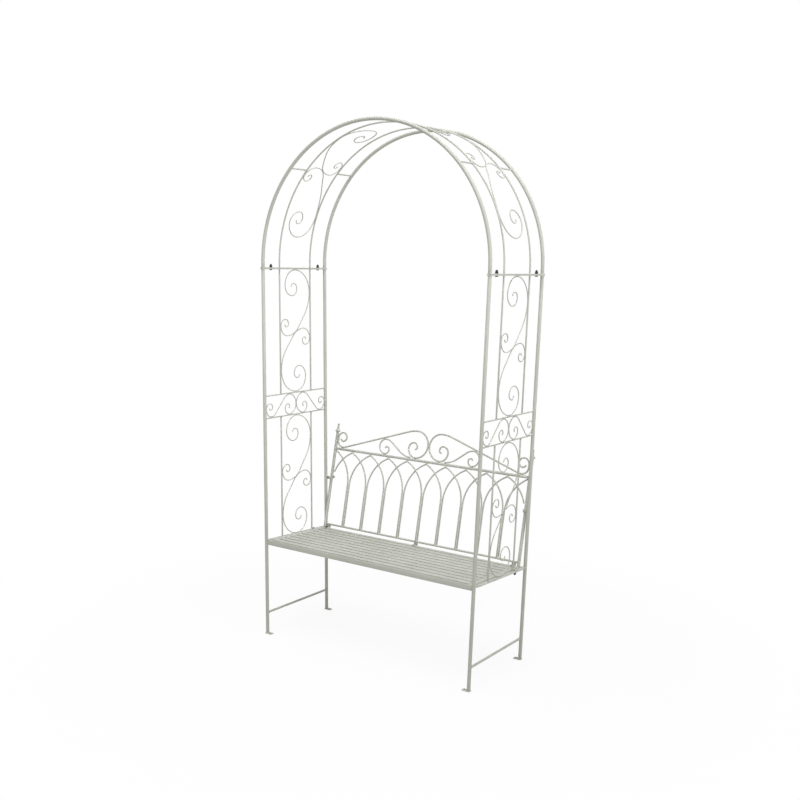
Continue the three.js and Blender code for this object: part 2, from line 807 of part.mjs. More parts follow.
// Small S between the long rod and the top rail: a swung tail that rolls into a loop just
// large enough to touch both.
function crestCurl(side) {
  const { start, footRadius, slope } = crestRoute();
  const x = -stileSpacing * curlPlaceShare;
  const base = backHeight + topRailRadius + crestCurlRadius + fitGap;
  const runX = start.x + footRadius * Math.sin(slope);
  const runY = start.y + footRadius * (1 - Math.cos(slope));
  const above = runY + (x - runX) * Math.tan(slope) - base;
  const apart = (crestRadius + crestCurlRadius + fitGap) / Math.cos(slope);
  const loop = (above - apart) / (1 + 1 / Math.cos(slope));
  const top = new THREE.Vector2(x, base + 2 * loop);
  const tailTurn = slope * tailTurnShare;
  const bends = loop * (tailTopShare + tailFootShare);
  const fall = 2 * loop - bends * (1 - Math.cos(tailTurn));
  const tail = walk(top, 0, [
    { turn: -tailTurn, radius: loop * tailTopShare },
    { run: fall / Math.sin(tailTurn) },
    { turn: tailTurn, radius: loop * tailFootShare },
  ]);
  const roll = walk(top, 2 * quarterTurn, [
    ...spiral(loop, 1, 2, 1),
    ...spiral(loop * smallLoopRatio, smallLoopRatio, smallLoopQuarters, 1),
  ]);
  const line = [...tail.reverse(), ...roll.slice(1)];
  return bend(line.map((p) => onBack(-side * p.x, p.y)), crestCurlRadius, barSides);
}

// Bolts, each in one piece with its domed nut

// Drawn upright: head below zero, shank through the given grip, nut and dome above.
function boltBody(grip) {
  const outline = [
    new THREE.Vector2(0, -boltHeadHeight - fitGap),
    new THREE.Vector2(boltHeadRadius, -boltHeadHeight * half - fitGap),
    new THREE.Vector2(boltHeadRadius, -fitGap),
    new THREE.Vector2(boltRadius, -fitGap),
    new THREE.Vector2(boltRadius, grip + fitGap),
    new THREE.Vector2(nutRadius, grip + fitGap),
    new THREE.Vector2(nutRadius, grip + fitGap + nutThickness),
    new THREE.Vector2(nutRadius * contactShare, grip + fitGap + nutThickness + domeHeight * half),
    new THREE.Vector2(0, grip + fitGap + nutThickness + domeHeight),
  ];
  return new THREE.LatheGeometry(outline, boltSides).rotateX(quarterTurn);
}

function addBolts() {
  const places = [['front', -1], ['rear', 1]];
  for (const [name, side] of [['left', -1], ['right', 1]]) {
    for (const [place, way] of places) {
      const joint = boltBody(2 * flatThickness);
      joint.translate(side * archRadius, way * boltY, jointHeight - flatThickness);
      addPiece(`joint_bolt_${name}_${place}`, toGeometry(toSolid(joint)), black);
      const hole = seatHoles(side)[way < 0 ? 0 : 1];
      const seat = boltBody(-seatBarBottom).rotateX(2 * quarterTurn).translate(hole.x, hole.y, 0);
      addPiece(`seat_bolt_${name}_${place}`, toGeometry(toSolid(ontoSeat(seat))), black);
    }
    const front = lugBack - lugThickness;
    const grip = stileBolt.y + stileRadius / Math.cos(backLean) + nutRadius * Math.tan(backLean) - front;
    const stileGeometry = boltBody(grip + fitGap).rotateX(-quarterTurn);
    stileGeometry.translate(side * stileX, front, stileBolt.z);
    addPiece(`stile_bolt_${name}`, toGeometry(toSolid(stileGeometry)), paint);
  }
  tabPlaces.forEach((x, i) => {
    const grip = tabThickness + angleThickness + fitGap;
    const geometry = boltBody(grip).rotateX(2 * quarterTurn);
    geometry.translate(x, tabBoltY, fitGap + tabThickness);
    addPiece(`tab_bolt_${['left', 'middle', 'right'][i]}`, toGeometry(toSolid(ontoSeat(geometry))), black);
  });
}

for (const [name, side] of [['left', -1], ['right', 1]]) sidePanel(side, name);
archHalf('arch_left', false);
archHalf('arch_right', true);
addPiece('seat_frame', seatFrame(), paint);
addPiece('seat_slats', seatDeck(), paint);
for (const [name, side] of [['left', -1], ['right', 1]]) {
  addPiece(`${name}_stile`, stile(side), paint);
  addPiece(`${name}_crest_rod`, crestRod(side), paint);
  addPiece(`${name}_crest_curl`, crestCurl(side), paint);
}
const railPoints = [-railReach, railReach].map((x) => onBack(x, backHeight));
addPiece('back_top_rail', rod(railPoints[0], railPoints[1], topRailRadius), paint);
addPiece('back_bottom_rail', bottomRail(), paint);
addPiece('back_arch_bars', archBars(), paint);
addBolts();

// The back leans out behind the posts, so the whole bench moves forward to sit centred.
const reachBack = new THREE.Box3().setFromObject(bench);
const shift = -(reachBack.min.y + reachBack.max.y) * half;
for (const mesh of bench.children) mesh.geometry.translate(0, shift, 0);

export default bench;
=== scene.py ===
# %% [markdown]
# # A garden bench under a round arch
#
# The bench is welded from steel rod, tube and flat bar and painted a pale grey-cream. Two ladder
# panels carry a slatted seat, a leaning back and an arch in two equal halves. Nothing moves.
#
# The CAD model fixes every place and size. Here each of its pieces is made again with the round
# sections, soft edges, weld beads and paint that the real one has.

# %% Load the fixed frame
from math import acos, asin, atan2, ceil, copysign, cos, degrees, hypot
from math import inf, pi, radians, sin, sqrt, tan

import bmesh
import bpy
from mathutils import Matrix, Vector
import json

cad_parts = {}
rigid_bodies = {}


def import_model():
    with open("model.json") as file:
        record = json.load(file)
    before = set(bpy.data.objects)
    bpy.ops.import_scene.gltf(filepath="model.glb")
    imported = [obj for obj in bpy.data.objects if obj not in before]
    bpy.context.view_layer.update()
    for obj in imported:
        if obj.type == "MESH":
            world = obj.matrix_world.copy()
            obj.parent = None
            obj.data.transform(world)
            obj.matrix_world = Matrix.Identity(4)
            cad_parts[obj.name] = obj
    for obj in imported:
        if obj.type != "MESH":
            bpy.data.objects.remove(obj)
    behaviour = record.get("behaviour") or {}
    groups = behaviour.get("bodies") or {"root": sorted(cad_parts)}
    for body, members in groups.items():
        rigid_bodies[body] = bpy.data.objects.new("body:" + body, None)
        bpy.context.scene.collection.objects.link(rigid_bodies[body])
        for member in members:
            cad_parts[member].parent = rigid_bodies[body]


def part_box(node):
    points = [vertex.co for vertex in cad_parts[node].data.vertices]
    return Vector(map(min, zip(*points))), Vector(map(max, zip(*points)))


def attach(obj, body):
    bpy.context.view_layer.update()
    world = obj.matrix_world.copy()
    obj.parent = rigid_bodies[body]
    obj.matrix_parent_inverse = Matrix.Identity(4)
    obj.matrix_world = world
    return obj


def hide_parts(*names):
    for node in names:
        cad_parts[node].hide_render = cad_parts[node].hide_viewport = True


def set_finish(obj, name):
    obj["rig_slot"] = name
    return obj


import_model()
scene = bpy.context.scene
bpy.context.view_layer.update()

# %% [markdown]
# ## Sizes
#
# These are the sizes of the bench in millimetres. A maker would write them on the cutting list.
# They could be measured from the frame, but a named size can be read and changed by hand. Only
# the bench's middle is measured, because the model was moved to sit centred.

# %% The cutting list
MM = 0.001
ARCH_RADIUS = 568.0  # post centres where the arch is bolted on, from the middle
FOOT_X = 531.0  # the same at the ground: the panels lean out a little
POST_Y = 212.5
JOINT_HEIGHT = 1641.5
ARCH_LEAD = 29.5  # straight start of the arch above the joint
SEAT_HEIGHT = 425.0
SEAT_SLOPE = radians(2.4)
STRETCHER_HEIGHT = 97.0
BAND_HEIGHT = 980.0
BAND_SPACING = 100.0
BACK_HEIGHT = 370.0
BACK_LEAN = radians(11.3)
STILE_INSET = 17.0
BACK_BAYS = 10
CREST_RISE = 122.0
GAP = 0.3  # what pieces that touch keep between them

POST = 7.5  # radii of rod and tube
INNER_ROD = 3.5
WIRE = 2.25
BAND_BAR = 3.0
STRETCHER = 5.0
STILE = 7.0
TOP_RAIL = 6.0
BOTTOM_RAIL = 4.5
ARCH_BAR = 3.5
CREST = 4.0
CREST_CURL = 3.5
FLAT = 4.0  # thickness of the flat bars
ANGLE_LEG = 20.0
ANGLE_HEIGHT = 22.0
ANGLE = 3.0  # thickness of the seat's angle bar

BETWEEN = POST_Y - POST - GAP  # from the middle to where a rod meets a post
ARCH_FOOT = JOINT_HEIGHT + FLAT
ARCH_CENTRE = ARCH_FOOT + ARCH_LEAD
ROD_SHARE, BOLT_SHARE, STILE_BOLT_SHARE = 0.247, 0.38, 0.62  # of the depth; of the back
INNER_ROD_Y = 2 * POST_Y * ROD_SHARE
BOLT_Y = 2 * POST_Y * BOLT_SHARE

LUG_HEIGHT, LUG, LUG_REACH, LUG_OFF = 14.0, 3.0, 8.0, 0.6
LUG_BACK = POST_Y + POST + LUG_OFF
STILE_BOLT_UP = BACK_HEIGHT * STILE_BOLT_SHARE
STILE_BOLT_Y = LUG_BACK + GAP + STILE + LUG_HEIGHT / 2 * tan(BACK_LEAN)
STILE_BOLT_Z = SEAT_HEIGHT + cos(BACK_LEAN) * STILE_BOLT_UP
BACK_FOOT_DEPTH = STILE_BOLT_Y - sin(BACK_LEAN) * STILE_BOLT_UP
SEAT_LIP, SEAT_SHORT = 1.5, 5.0  # past the front posts, and short of the back's foot
SEAT_FRONT = -POST_Y - SEAT_LIP
SEAT_BACK = BACK_FOOT_DEPTH - SEAT_SHORT

low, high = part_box("left_stretcher")
MIDDLE_Y = (low.y + high.y) / 2 / MM
QUARTER = pi / 2
SIDES = (("left", -1), ("right", 1))
X_AXIS, Y_AXIS, Z_AXIS = (1, 0, 0), (0, 1, 0), (0, 0, 1)
print("middle of the panels, mm:", round(MIDDLE_Y, 2))


def panel_x(z):
    return FOOT_X + (ARCH_RADIUS - FOOT_X) * z / JOINT_HEIGHT


SEAT_X = panel_x(SEAT_HEIGHT)
STILE_X = SEAT_X - STILE_INSET

# %% [markdown]
# ## Colours and nodes
#
# A colour is easiest to choose as the sRGB hex value that a painter would read off a chart.
# Blender's shaders want linear light, so one function turns the one into the other. One more
# adds a node with its settings and links, which keeps a material's recipe readable. The kind of
# a node is its type's name without the ShaderNode that all of them start with.

# %% Two helpers for materials
RANGE = ("From Min", "From Max", "To Min", "To Max")  # the inputs of a Map Range node


def linear(hex_colour):
    values = [int(hex_colour[i : i + 2], 16) / 255 for i in (1, 3, 5)]
    values = [v / 12.92 if v <= 0.04045 else ((v + 0.055) / 1.055) ** 2.4 for v in values]
    return (*values, 1.0)


def add_node(tree, kind, settings=None, links=None):
    """Adds a shader node. Settings name attributes or inputs; links give sockets to read from."""
    node = tree.nodes.new("ShaderNode" + kind)
    for name, value in (settings or {}).items():
        if isinstance(name, str) and hasattr(node, name):
            setattr(node, name, value)
        else:
            node.inputs[name].default_value = value
    for name, source in (links or {}).items():
        tree.links.new(source, node.inputs[name])
    return node


def new_material(name):
    material = bpy.data.materials.new(name)
    material.use_nodes = True
    material.node_tree.nodes.clear()
    return material, material.node_tree


# %% [markdown]
# ## Powder coat on mild steel
#
# The frame is sprayed with polyester powder and baked. That gives a satin skin with a fine orange
# peel, a couple of millimetres from bump to bump, and a slightly thicker, wavier coat where it
# ran before it set. The colour is almost even: it clouds by a few hundredths and is a touch warmer
# where the coat is thin. A single colour would look like plastic, so three noises of real scale
# drive colour, roughness and bump.
#
# Narrow gaps, such as those between the slats or between two rods that touch, get a painted
# shade: the colour is darkened there, as shade would darken it. Ambient occlusion finds such
# places: it measures how much of a point's own piece is near.

# %% Frame paint
PEEL_SIZE = 2.2  # mm from bump to bump of the orange peel
RUN_SIZE = 14.0  # mm, waves in the coat's thickness
CLOUD_SIZE = 160.0  # mm, slow drift of the colour
SHADE_REACH = 9.0  # mm, how near another surface has to be for the painted shade to fall


def powder_coat(name, gap_shade=0.0):
    """The frame's paint. Faces that look along Y may get a painted shade, as the slats' sides do."""
    material, tree = new_material(name)
    place = add_node(tree, "TexCoord").outputs["Object"]
    noises = []
    sizes = (CLOUD_SIZE, 3.0, 0.55), (RUN_SIZE, 2.0, 0.5), (PEEL_SIZE, 1.5, 0.45)
    for size, detail, rough in sizes:
        grain = {"Scale": 1 / (size * MM), "Detail": detail, "Roughness": rough}
        noises.append(add_node(tree, "TexNoise", grain, {"Vector": place}).outputs["Fac"])
    clouds, runs, peel = noises
    cloudy = add_node(tree, "ValToRGB", links={"Fac": clouds})
    stops = zip(cloudy.color_ramp.elements, (0.32, 0.68), ("#bfc0b8", "#c9cac2"))
    for stop, position, colour in stops:
        stop.position = position
        stop.color = linear(colour)
    reach = {"samples": 8, "only_local": True, "Distance": SHADE_REACH * MM}
    open_air = add_node(tree, "AmbientOcclusion", reach).outputs["AO"]
    # What drives each layer over the clouds, where it starts and is full, how much, its colour.
    # The second layer is a painted shade: it darkens the colour where occlusion finds the piece's
    # own surfaces near.
    layers = [(runs, 0.42, 0.30, 0.2, "#b4b3a5"), (open_air, 0.85, 0.35, 0.75, "#85857a")]
    # Faces that look along Y are darkened: a painted shade for the dark gaps between the slats.
    if gap_shade:
        facing = add_node(tree, "NewGeometry").outputs["Normal"]
        along = add_node(tree, "SeparateXYZ", links={"Vector": facing}).outputs["Y"]
        sideways = add_node(tree, "Math", {"operation": "ABSOLUTE"}, {0: along}).outputs[0]
        layers.append((sideways, 0.6, 0.95, gap_shade, "#66665b"))
    coat = cloudy.outputs["Color"]
    for source, start, full, most, colour in layers:
        span = dict(zip(RANGE, (start, full, 0.0, most)))
        amount = add_node(tree, "MapRange", span, {"Value": source}).outputs["Result"]
        layer = {"data_type": "RGBA", 7: linear(colour)}
        coat = add_node(tree, "Mix", layer, {0: amount, 6: coat}).outputs[2]
    shine = dict(zip(RANGE, (0.3, 0.7, 0.48, 0.58)))
    satin = add_node(tree, "MapRange", shine, {"Value": runs}).outputs["Result"]
    bump = {"Strength": 0.15, "Distance": 0.10 * MM}
    waves = add_node(tree, "Bump", bump, {"Height": runs}).outputs["Normal"]
    bump = {"Strength": 0.2, "Distance": 0.03 * MM}
    skin = add_node(tree, "Bump", bump, {"Height": peel, "Normal": waves}).outputs["Normal"]
    steel = {"Metallic": 0.0, "IOR": 1.5, "Specular IOR Level": 0.4}
    looks = {"Base Color": coat, "Roughness": satin, "Normal": skin}
    shader = add_node(tree, "BsdfPrincipled", steel, looks)
    add_node(tree, "OutputMaterial", links={"Surface": shader.outputs["BSDF"]})
    return material


# %% [markdown]
# ## Black coated fasteners
#
# The bolts and domed nuts are steel with a thin black coat, smoother than the frame's paint. The
# dome catches one small soft highlight. Fine pits, a millimetre apart, and a few grey rubs on the
# corners of the hexagon where a spanner has turned it keep it from looking like a hole.

# %% Bolt black
PIT_SIZE = 1.0  # mm


def bolt_black():
    material, tree = new_material("black_coated_steel_bolt")
    place = add_node(tree, "TexCoord").outputs["Object"]
    grain = {"Scale": 1 / (PIT_SIZE * MM), "Detail": 2.0, "Roughness": 0.6}
    pits = add_node(tree, "TexNoise", grain, {"Vector": place}).outputs["Fac"]
    edge = add_node(tree, "NewGeometry").outputs["Pointiness"]
    rubbed = add_node(tree, "MapRange", dict(zip(RANGE, (0.56, 0.68, 0.0, 0.5))), {"Value": edge})
    blacks = {"data_type": "RGBA", 6: linear("#1c1c1b"), 7: linear("#4a4a47")}
    coat = add_node(tree, "Mix", blacks, {0: rubbed.outputs["Result"]}).outputs[2]
    shine = dict(zip(RANGE, (0.3, 0.7, 0.32, 0.5)))
    satin = add_node(tree, "MapRange", shine, {"Value": pits}).outputs["Result"]
    bump = {"Strength": 0.3, "Distance": 0.04 * MM}
    skin = add_node(tree, "Bump", bump, {"Height": pits}).outputs["Normal"]
    looks = {"Base Color": coat, "Roughness": satin, "Normal": skin}
    shader = add_node(tree, "BsdfPrincipled", {"Metallic": 0.0, "IOR": 1.5}, looks)
    add_node(tree, "OutputMaterial", links={"Surface": shader.outputs["BSDF"]})
    return material


PAINT = powder_coat("powder_coated_mild_steel")
# The slats' sides get a painted shade for the dark gaps between them.
SLAT_PAINT = powder_coat("powder_coated_seat_slats", gap_shade=0.35)
BLACK = bolt_black()
SLOTS = {PAINT.name: "frame_paint", SLAT_PAINT.name: "frame_paint", BLACK.name: "black_bolts"}
print("materials:", ", ".join(SLOTS))

# %% [markdown]
# ## Bending rod on a flat table
#
# A smith bends scrolls cold on a flat table: straight runs and arcs, one after the other, without
# a kink between them. A curve object with a bevel could make such a rod. Here the rod's round
# section is carried along instead: spin turns it about the middle of each arc, and pushes it
# ahead on each run, so the section stays exactly round and the arcs are true arcs.

# %% Moves of a route


def run(length):
    return ("run", length)


def arc(turn, radius):
    return ("arc", turn, radius)


def spiral(radius, ratio, quarters, side):
    """Quarter turns, each tighter than the one before; the last may be part of a quarter."""
    turns = [side * QUARTER * min(1, quarters - i) for i in range(ceil(quarters))]
    return [arc(turn, radius * ratio**i) for i, turn in enumerate(turns)]


def pointing(angle):
    return Vector((cos(angle), sin(angle), 0))


def step_ahead(at, angle, move):
    """Where a move ends, and which way it then points."""
    ahead = pointing(angle)
    if move[0] == "run":
        return at + ahead * move[1], angle
    side = copysign(move[2], move[1])
    left = Vector((-ahead.y, ahead.x, 0))
    turned = angle + move[1]
    return at + left * side + Vector((sin(turned), -cos(turned), 0)) * side, turned


def backwards(start, heading, moves):
    """The same route from its other end: start, heading and moves."""
    at, angle = Vector((*start, 0)), heading
    for move in moves:
        at, angle = step_ahead(at, angle, move)
    back = [move if move[0] == "run" else arc(-move[1], move[2]) for move in reversed(moves)]
    return (at.x, at.y), angle + pi, back


# %% Bending the rod
SAG = 0.05  # mm that a facet may cut inside its arc
WIDEST_FACET = 0.22  # radians that one facet may turn
RIM_SHARE = 0.2  # of a rod's radius, which its sawn ends are rounded by
TUBE_SIDES, RAIL_SIDES, ROD_SIDES, BAR_SIDES, WIRE_SIDES = 32, 20, 16, 14, 12


def standing(at, way):
    """Carries a shape that stands on the table to a place, turned to point a way."""
    return Matrix.Translation(at) @ Vector(way).to_track_quat("Z", "Y").to_matrix().to_4x4()


def soften(bm, geom, offset, segments=2, affect="EDGES"):
    """Rounds edges or vertices. The operator's own defaults differ from the editor's."""
    bmesh.ops.bevel(
        bm, geom=geom, offset=offset, segments=segments, profile=0.5, affect=affect, material=-1,
        clamp_overlap=True,
    )


def bend_rod(start, heading, moves, radius, sides=ROD_SIDES, longest=inf):
    """A round rod on the flat table, in millimetres, with slightly rounded ends."""
    bm = bmesh.new()
    at, angle = Vector((*start, 0)), heading
    stand = standing(at, pointing(angle))
    bmesh.ops.create_circle(bm, segments=sides, radius=radius, matrix=stand)
    first = bm.edges[:]
    ends = bm.verts[:] + first
    for move in moves:
        if move[0] == "run":
            steps = max(1, ceil(move[1] / longest))
            push = pointing(angle) * move[1] / steps
            centre, turn = at, 0.0
        else:
            _, turn, bow = move
            facet = min(WIDEST_FACET, 2 * acos(1 - SAG / bow))
            steps = max(1, ceil(abs(turn) / facet))
            left = Vector((-sin(angle), cos(angle), 0))
            centre, push = at + left * copysign(bow, turn), Vector()
        made = bmesh.ops.spin(
            bm, geom=ends, cent=centre, axis=Z_AXIS, dvec=push, angle=turn, steps=steps
        )
        ends = [e for e in made["geom_last"] if not isinstance(e, bmesh.types.BMFace)]
        at, angle = step_ahead(at, angle, move)
    last = [e for e in ends if isinstance(e, bmesh.types.BMEdge)]
    for ring in (first, last):
        bmesh.ops.edgeloop_fill(bm, edges=ring)
    soften(bm, first + last, radius * RIM_SHARE)
    return bm


def straight(a, b, radius, sides=ROD_SIDES):
    """A straight rod between two points of the table."""
    way = Vector(b) - Vector(a)
    return bend_rod(a, atan2(way.y, way.x), [run(way.length)], radius, sides)


# %% [markdown]
# ## Laying the flat work in place
#
# The panels, the seat and the back are flat, so one matrix each carries work from the table to
# its place. A matrix with a minus sign mirrors work for free; normals are recalculated afterwards,
# because a mirror turns a shape inside out. The arch is different: its scrolls are made flat and
# then rolled to the curve, so each vertex is moved round the arch's centre.

# %% From table to bench
METRES = Matrix.Scale(MM, 4)


def moved(x, y, z):
    return Matrix.Translation((x, y, z))


def mirrored(x, y=1):
    """Mirrors work where a sign is -1; two of them turn it half round."""
    return Matrix.Diagonal((x, y, 1, 1))


UPRIGHT = METRES @ moved(0, MIDDLE_Y, 0)
SEAT_CORNER = moved(0, MIDDLE_Y, SEAT_HEIGHT)
ON_SEAT = METRES @ SEAT_CORNER @ Matrix.Rotation(-SEAT_SLOPE, 4, "X")
BACK_ROWS = (
    (1, 0, 0, 0),
    (0, sin(BACK_LEAN), cos(BACK_LEAN), BACK_FOOT_DEPTH + MIDDLE_Y),
    (0, cos(BACK_LEAN), -sin(BACK_LEAN), SEAT_HEIGHT),
    (0, 0, 0, 1),
)
ON_BACK = METRES @ Matrix(BACK_ROWS)


def on_panel(side):
    lean = side * (ARCH_RADIUS - FOOT_X) / JOINT_HEIGHT
    rows = ((0, lean, side, side * FOOT_X), (1, 0, 0, MIDDLE_Y), (0, 1, 0, 0), (0, 0, 0, 1))
    return METRES @ Matrix(rows)


def roll_onto_arch(bm):
    """Rolls flat work to the arch: across the table is Y, up the table runs along the curve."""
    for vert in bm.verts:
        across, along, out = vert.co
        angle = max(0.0, along - ARCH_LEAD) / ARCH_RADIUS
        reach = ARCH_RADIUS + out
        rise = min(along, ARCH_LEAD) + sin(angle) * reach
        vert.co = (-cos(angle) * reach, across, ARCH_FOOT + rise)
    return bm


def laid(bm, place):
    bmesh.ops.transform(bm, matrix=place, verts=bm.verts)
    return bm


def joined(parts, place=Matrix()):
    """Several bits of work as one, laid in a place."""
    whole = bmesh.new()
    for part in parts:
        sheet = bpy.data.meshes.new("sheet")
        part.to_mesh(sheet)
        part.free()
        whole.from_mesh(sheet)
        bpy.data.meshes.remove(sheet)
    return laid(whole, place)


# %% [markdown]
# ## Standing in for the frame's pieces
#
# Each finished piece hides the CAD piece that it stands for, rides on the bench's one body and
# takes its finish from a slot. It is shaded smooth except over corners sharper than 40 degrees.
# Its box is compared with the CAD piece's box, and a difference over 1.5 mm is printed.

# %% Finish a piece
SHARP = radians(40)
FIT = 1.5  # mm
fit_notes = []


def piece(name, bm, finish, *nodes):
    bmesh.ops.recalc_face_normals(bm, faces=bm.faces)
    mesh = bpy.data.meshes.new(name)
    bm.to_mesh(mesh)
    bm.free()
    mesh.shade_smooth()
    mesh.set_sharp_from_angle(angle=SHARP)
    mesh.materials.append(finish)
    made = bpy.data.objects.new(name, mesh)
    scene.collection.objects.link(made)
    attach(made, "root")
    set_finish(made, SLOTS[finish.name])
    if nodes:
        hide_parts(*nodes)
        boxes = [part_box(node) for node in nodes]
        for axis in range(3):
            spots = [v.co[axis] for v in mesh.vertices]
            want = min(b[0][axis] for b in boxes), max(b[1][axis] for b in boxes)
            off = max(abs(min(spots) - want[0]), abs(max(spots) - want[1])) / MM
            if off > FIT:
                fit_notes.append(f"{name}: {'XYZ'[axis]} off by {off:.1f} mm")
    return made


def welded_set(name, work, place=Matrix()):
    """The painted pieces of one set: what each is called, its shape and its CAD piece."""
    for label, bm, node in work:
        piece(f"{name}_{label}", laid(bm, place), PAINT, f"{name}_{node}")


# %% [markdown]
# ## Flat bar, plate and weld beads
#
# Flat bar comes from the mill with edges that are only just broken, about half a millimetre. A
# cube pulled to size and bevelled gives that. Where rod meets bar the welder leaves a small
# bead: a ring of overlapping drops, softened by the paint. A ring is one small circle spun round
# the joint, pushed in and out a little as the drops do. Tacks between touching rods are drops.

# %% Bars
MILL_EDGE, CUT_EDGE = 0.6, 0.8  # mm that edges from the mill and the shears are softened by


def slab(a, b, edge=MILL_EDGE):
    """A flat bar or plate between two opposite corners, with softened edges."""
    low, high = Vector([*map(min, a, b)]), Vector([*map(max, a, b)])
    bm = bmesh.new()
    bmesh.ops.create_cube(bm, size=1.0)
    bmesh.ops.scale(bm, vec=high - low, verts=bm.verts)
    bmesh.ops.translate(bm, vec=(high + low) / 2, verts=bm.verts)
    soften(bm, bm.edges[:], edge)
    return bm


# %% Beads and tacks
# Radii of the beads in millimetres, from the thin rods to the feet.
FINE_WELD, TIE_WELD, BAND_WELD, WELD, RUNG_WELD, FOOT_WELD = 1.1, 1.2, 1.3, 1.4, 1.5, 1.6
WELD_UP = 0.4  # mm from the plate to the middle of a bead
DROP_SHARE, WANDER_SHARE, FLAT_SHARE, LUMP_SHARE = 0.16, 0.08, 0.8, 0.12  # of a weld's size


def turn_round(bm, geom, steps):
    """One full turn about the Z axis, closed where it meets itself."""
    bmesh.ops.spin(
        bm, geom=geom, cent=(0, 0, 0), axis=Z_AXIS, angle=4 * QUARTER, steps=steps, use_merge=True
    )


def bead(at, axis, radius, size=WELD):
    """A ring of weld round a rod, at a point, square to an axis."""
    bm = bmesh.new()
    stand = moved(radius, 0, 0) @ Matrix.Rotation(QUARTER, 4, "X")
    bmesh.ops.create_circle(bm, segments=6, radius=size, matrix=stand)
    turn_round(bm, bm.verts[:] + bm.edges[:], 20)
    drops = max(5, round(2 * radius / size))
    for vert in bm.verts:
        turn = atan2(vert.co.y, vert.co.x)
        swell = 1 + DROP_SHARE * sin(drops * turn + at[2])
        swell += WANDER_SHARE * sin(3 * turn + at[1])
        out = hypot(vert.co.x, vert.co.y)
        grown = (radius + (out - radius) * swell) / out
        vert.co.x *= grown
        vert.co.y *= grown
        vert.co.z *= FLAT_SHARE * swell
    return laid(bm, standing(at, axis))


def tack(at, size):
    """A drop of weld between two rods that touch."""
    bm = bmesh.new()
    bmesh.ops.create_icosphere(bm, subdivisions=2, radius=1.0)
    for vert in bm.verts:
        swell = 1 + LUMP_SHARE * sin(4 * vert.co.x + at[1]) * cos(3 * vert.co.y + at[0])
        vert.co = vert.co * swell
    bmesh.ops.scale(bm, vec=size, verts=bm.verts)
    bmesh.ops.translate(bm, vec=at, verts=bm.verts)
    return bm


def level_rod(reach, height, radius, weld=WELD, sides=ROD_SIDES):
    """A straight rod across the table, with a ring of weld at each end."""
    beads = [bead((end, height, 0), X_AXIS, radius, weld) for end in (-reach, reach)]
    return [straight((-reach, height), (reach, height), radius, sides), *beads]


# %% [markdown]
# ## The scrolls
#
# The work this bench is bought for. Each bay between two rods holds a pair of scrolls: a big
# spiral rolls against the end bar, the wire follows the far rod, crosses over and ends in a
# small spiral against the near rod. Its twin is the same wire turned half round, and the two are
# welded where they cross. Drawing it as tangent arcs keeps every join between curves smooth.

# %% Scroll routes
BAY_HALF_WIDTH = INNER_ROD_Y - INNER_ROD - WIRE - GAP
CROSS_LEAN = radians(56)  # of the wires where the two scrolls of a pair touch
TOUCH_SHARE = 0.7  # of the wire: how far each of two wires stands off where they touch
BEND_SHARE = 1.3  # of the slope to the big spiral: how far the wire turns on its way
SMALL_SHARE = 0.45  # of the bay's half width
BIG_CURL, SMALL_CURL = (0.69, 6), (0.68, 5.1)  # how each quarter tightens, and how many
LONGEST_PUSH = 12.0  # mm between a wire's rings, so that it can be rolled onto the arch
END_TACK, SIDE_TACK, CROSS_TACK = (5, 1.6, 1.8), (1.6, 4.5, 1.8), (3.0, 4.0, 2.4)
END_TACK_OUT, SIDE_TACK_OUT = 0.6, 0.8  # mm past the wire's middle


def scroll_route(half_width, half_height):
    """Start, heading and moves of one scroll, with the pair's crossing at zero."""
    theta = BEND_SHARE * atan2(half_width, half_height - half_width)
    offset = WIRE * TOUCH_SHARE
    start = (-cos(CROSS_LEAN) * offset, sin(CROSS_LEAN) * offset)
    small = half_width * SMALL_SHARE
    hook = (half_width + start[0] - small) / cos(CROSS_LEAN)
    swing = arc(CROSS_LEAN - theta, hook)
    leave, _ = step_ahead(Vector((*start, 0)), QUARTER - CROSS_LEAN, swing)
    across = half_width - leave.x
    up = half_height - half_width - leave.y
    length = across / tan(theta / 2) - up
    bow = (up * sin(theta) - across * cos(theta)) / (1 - cos(theta))
    climb = [swing, run(length), arc(theta, bow), *spiral(half_width, *BIG_CURL, 1)]
    descent = [arc(CROSS_LEAN - QUARTER, hook), *spiral(small, *SMALL_CURL, -1)]
    end, heading, back = backwards(start, QUARTER - CROSS_LEAN, climb)
    return end, heading, back + descent


def scroll_pair(low, high, crossing, mirror=1):
    """Both scrolls of a bay and their tacks, flat on the table."""
    middle = (low + high) / 2 + crossing
    parts = []
    for way in (1, -1):
        flip = way * mirror
        half_height = high - middle if flip > 0 else middle - low
        route = scroll_route(BAY_HALF_WIDTH, half_height)
        wire = bend_rod(*route, WIRE, WIRE_SIDES, longest=LONGEST_PUSH)
        end = middle + flip * (half_height + END_TACK_OUT)
        crown = middle + flip * (half_height - BAY_HALF_WIDTH)
        parts += [
            laid(wire, moved(0, middle, 0) @ mirrored(way, flip)),
            tack((0, end, 0), END_TACK),
            tack((way * (BAY_HALF_WIDTH + SIDE_TACK_OUT), crown, 0), SIDE_TACK),
        ]
    return joined([*parts, tack((0, middle, 0), CROSS_TACK)])


route = scroll_route(BAY_HALF_WIDTH, 250)
wire_length = sum(m[1] if m[0] == "run" else abs(m[1]) * m[2] for m in route[2])
print("one panel scroll takes about", round(wire_length), "mm of wire")

# %% [markdown]
# ## The scroll band
#
# A band of two thin bars crosses each panel above the seat. Between them lie two S-shaped wires,
# mirrored front to back: each has a curl beside its post, rises to the upper bar and rolls into a
# second curl near the middle, where the two lean on each other.

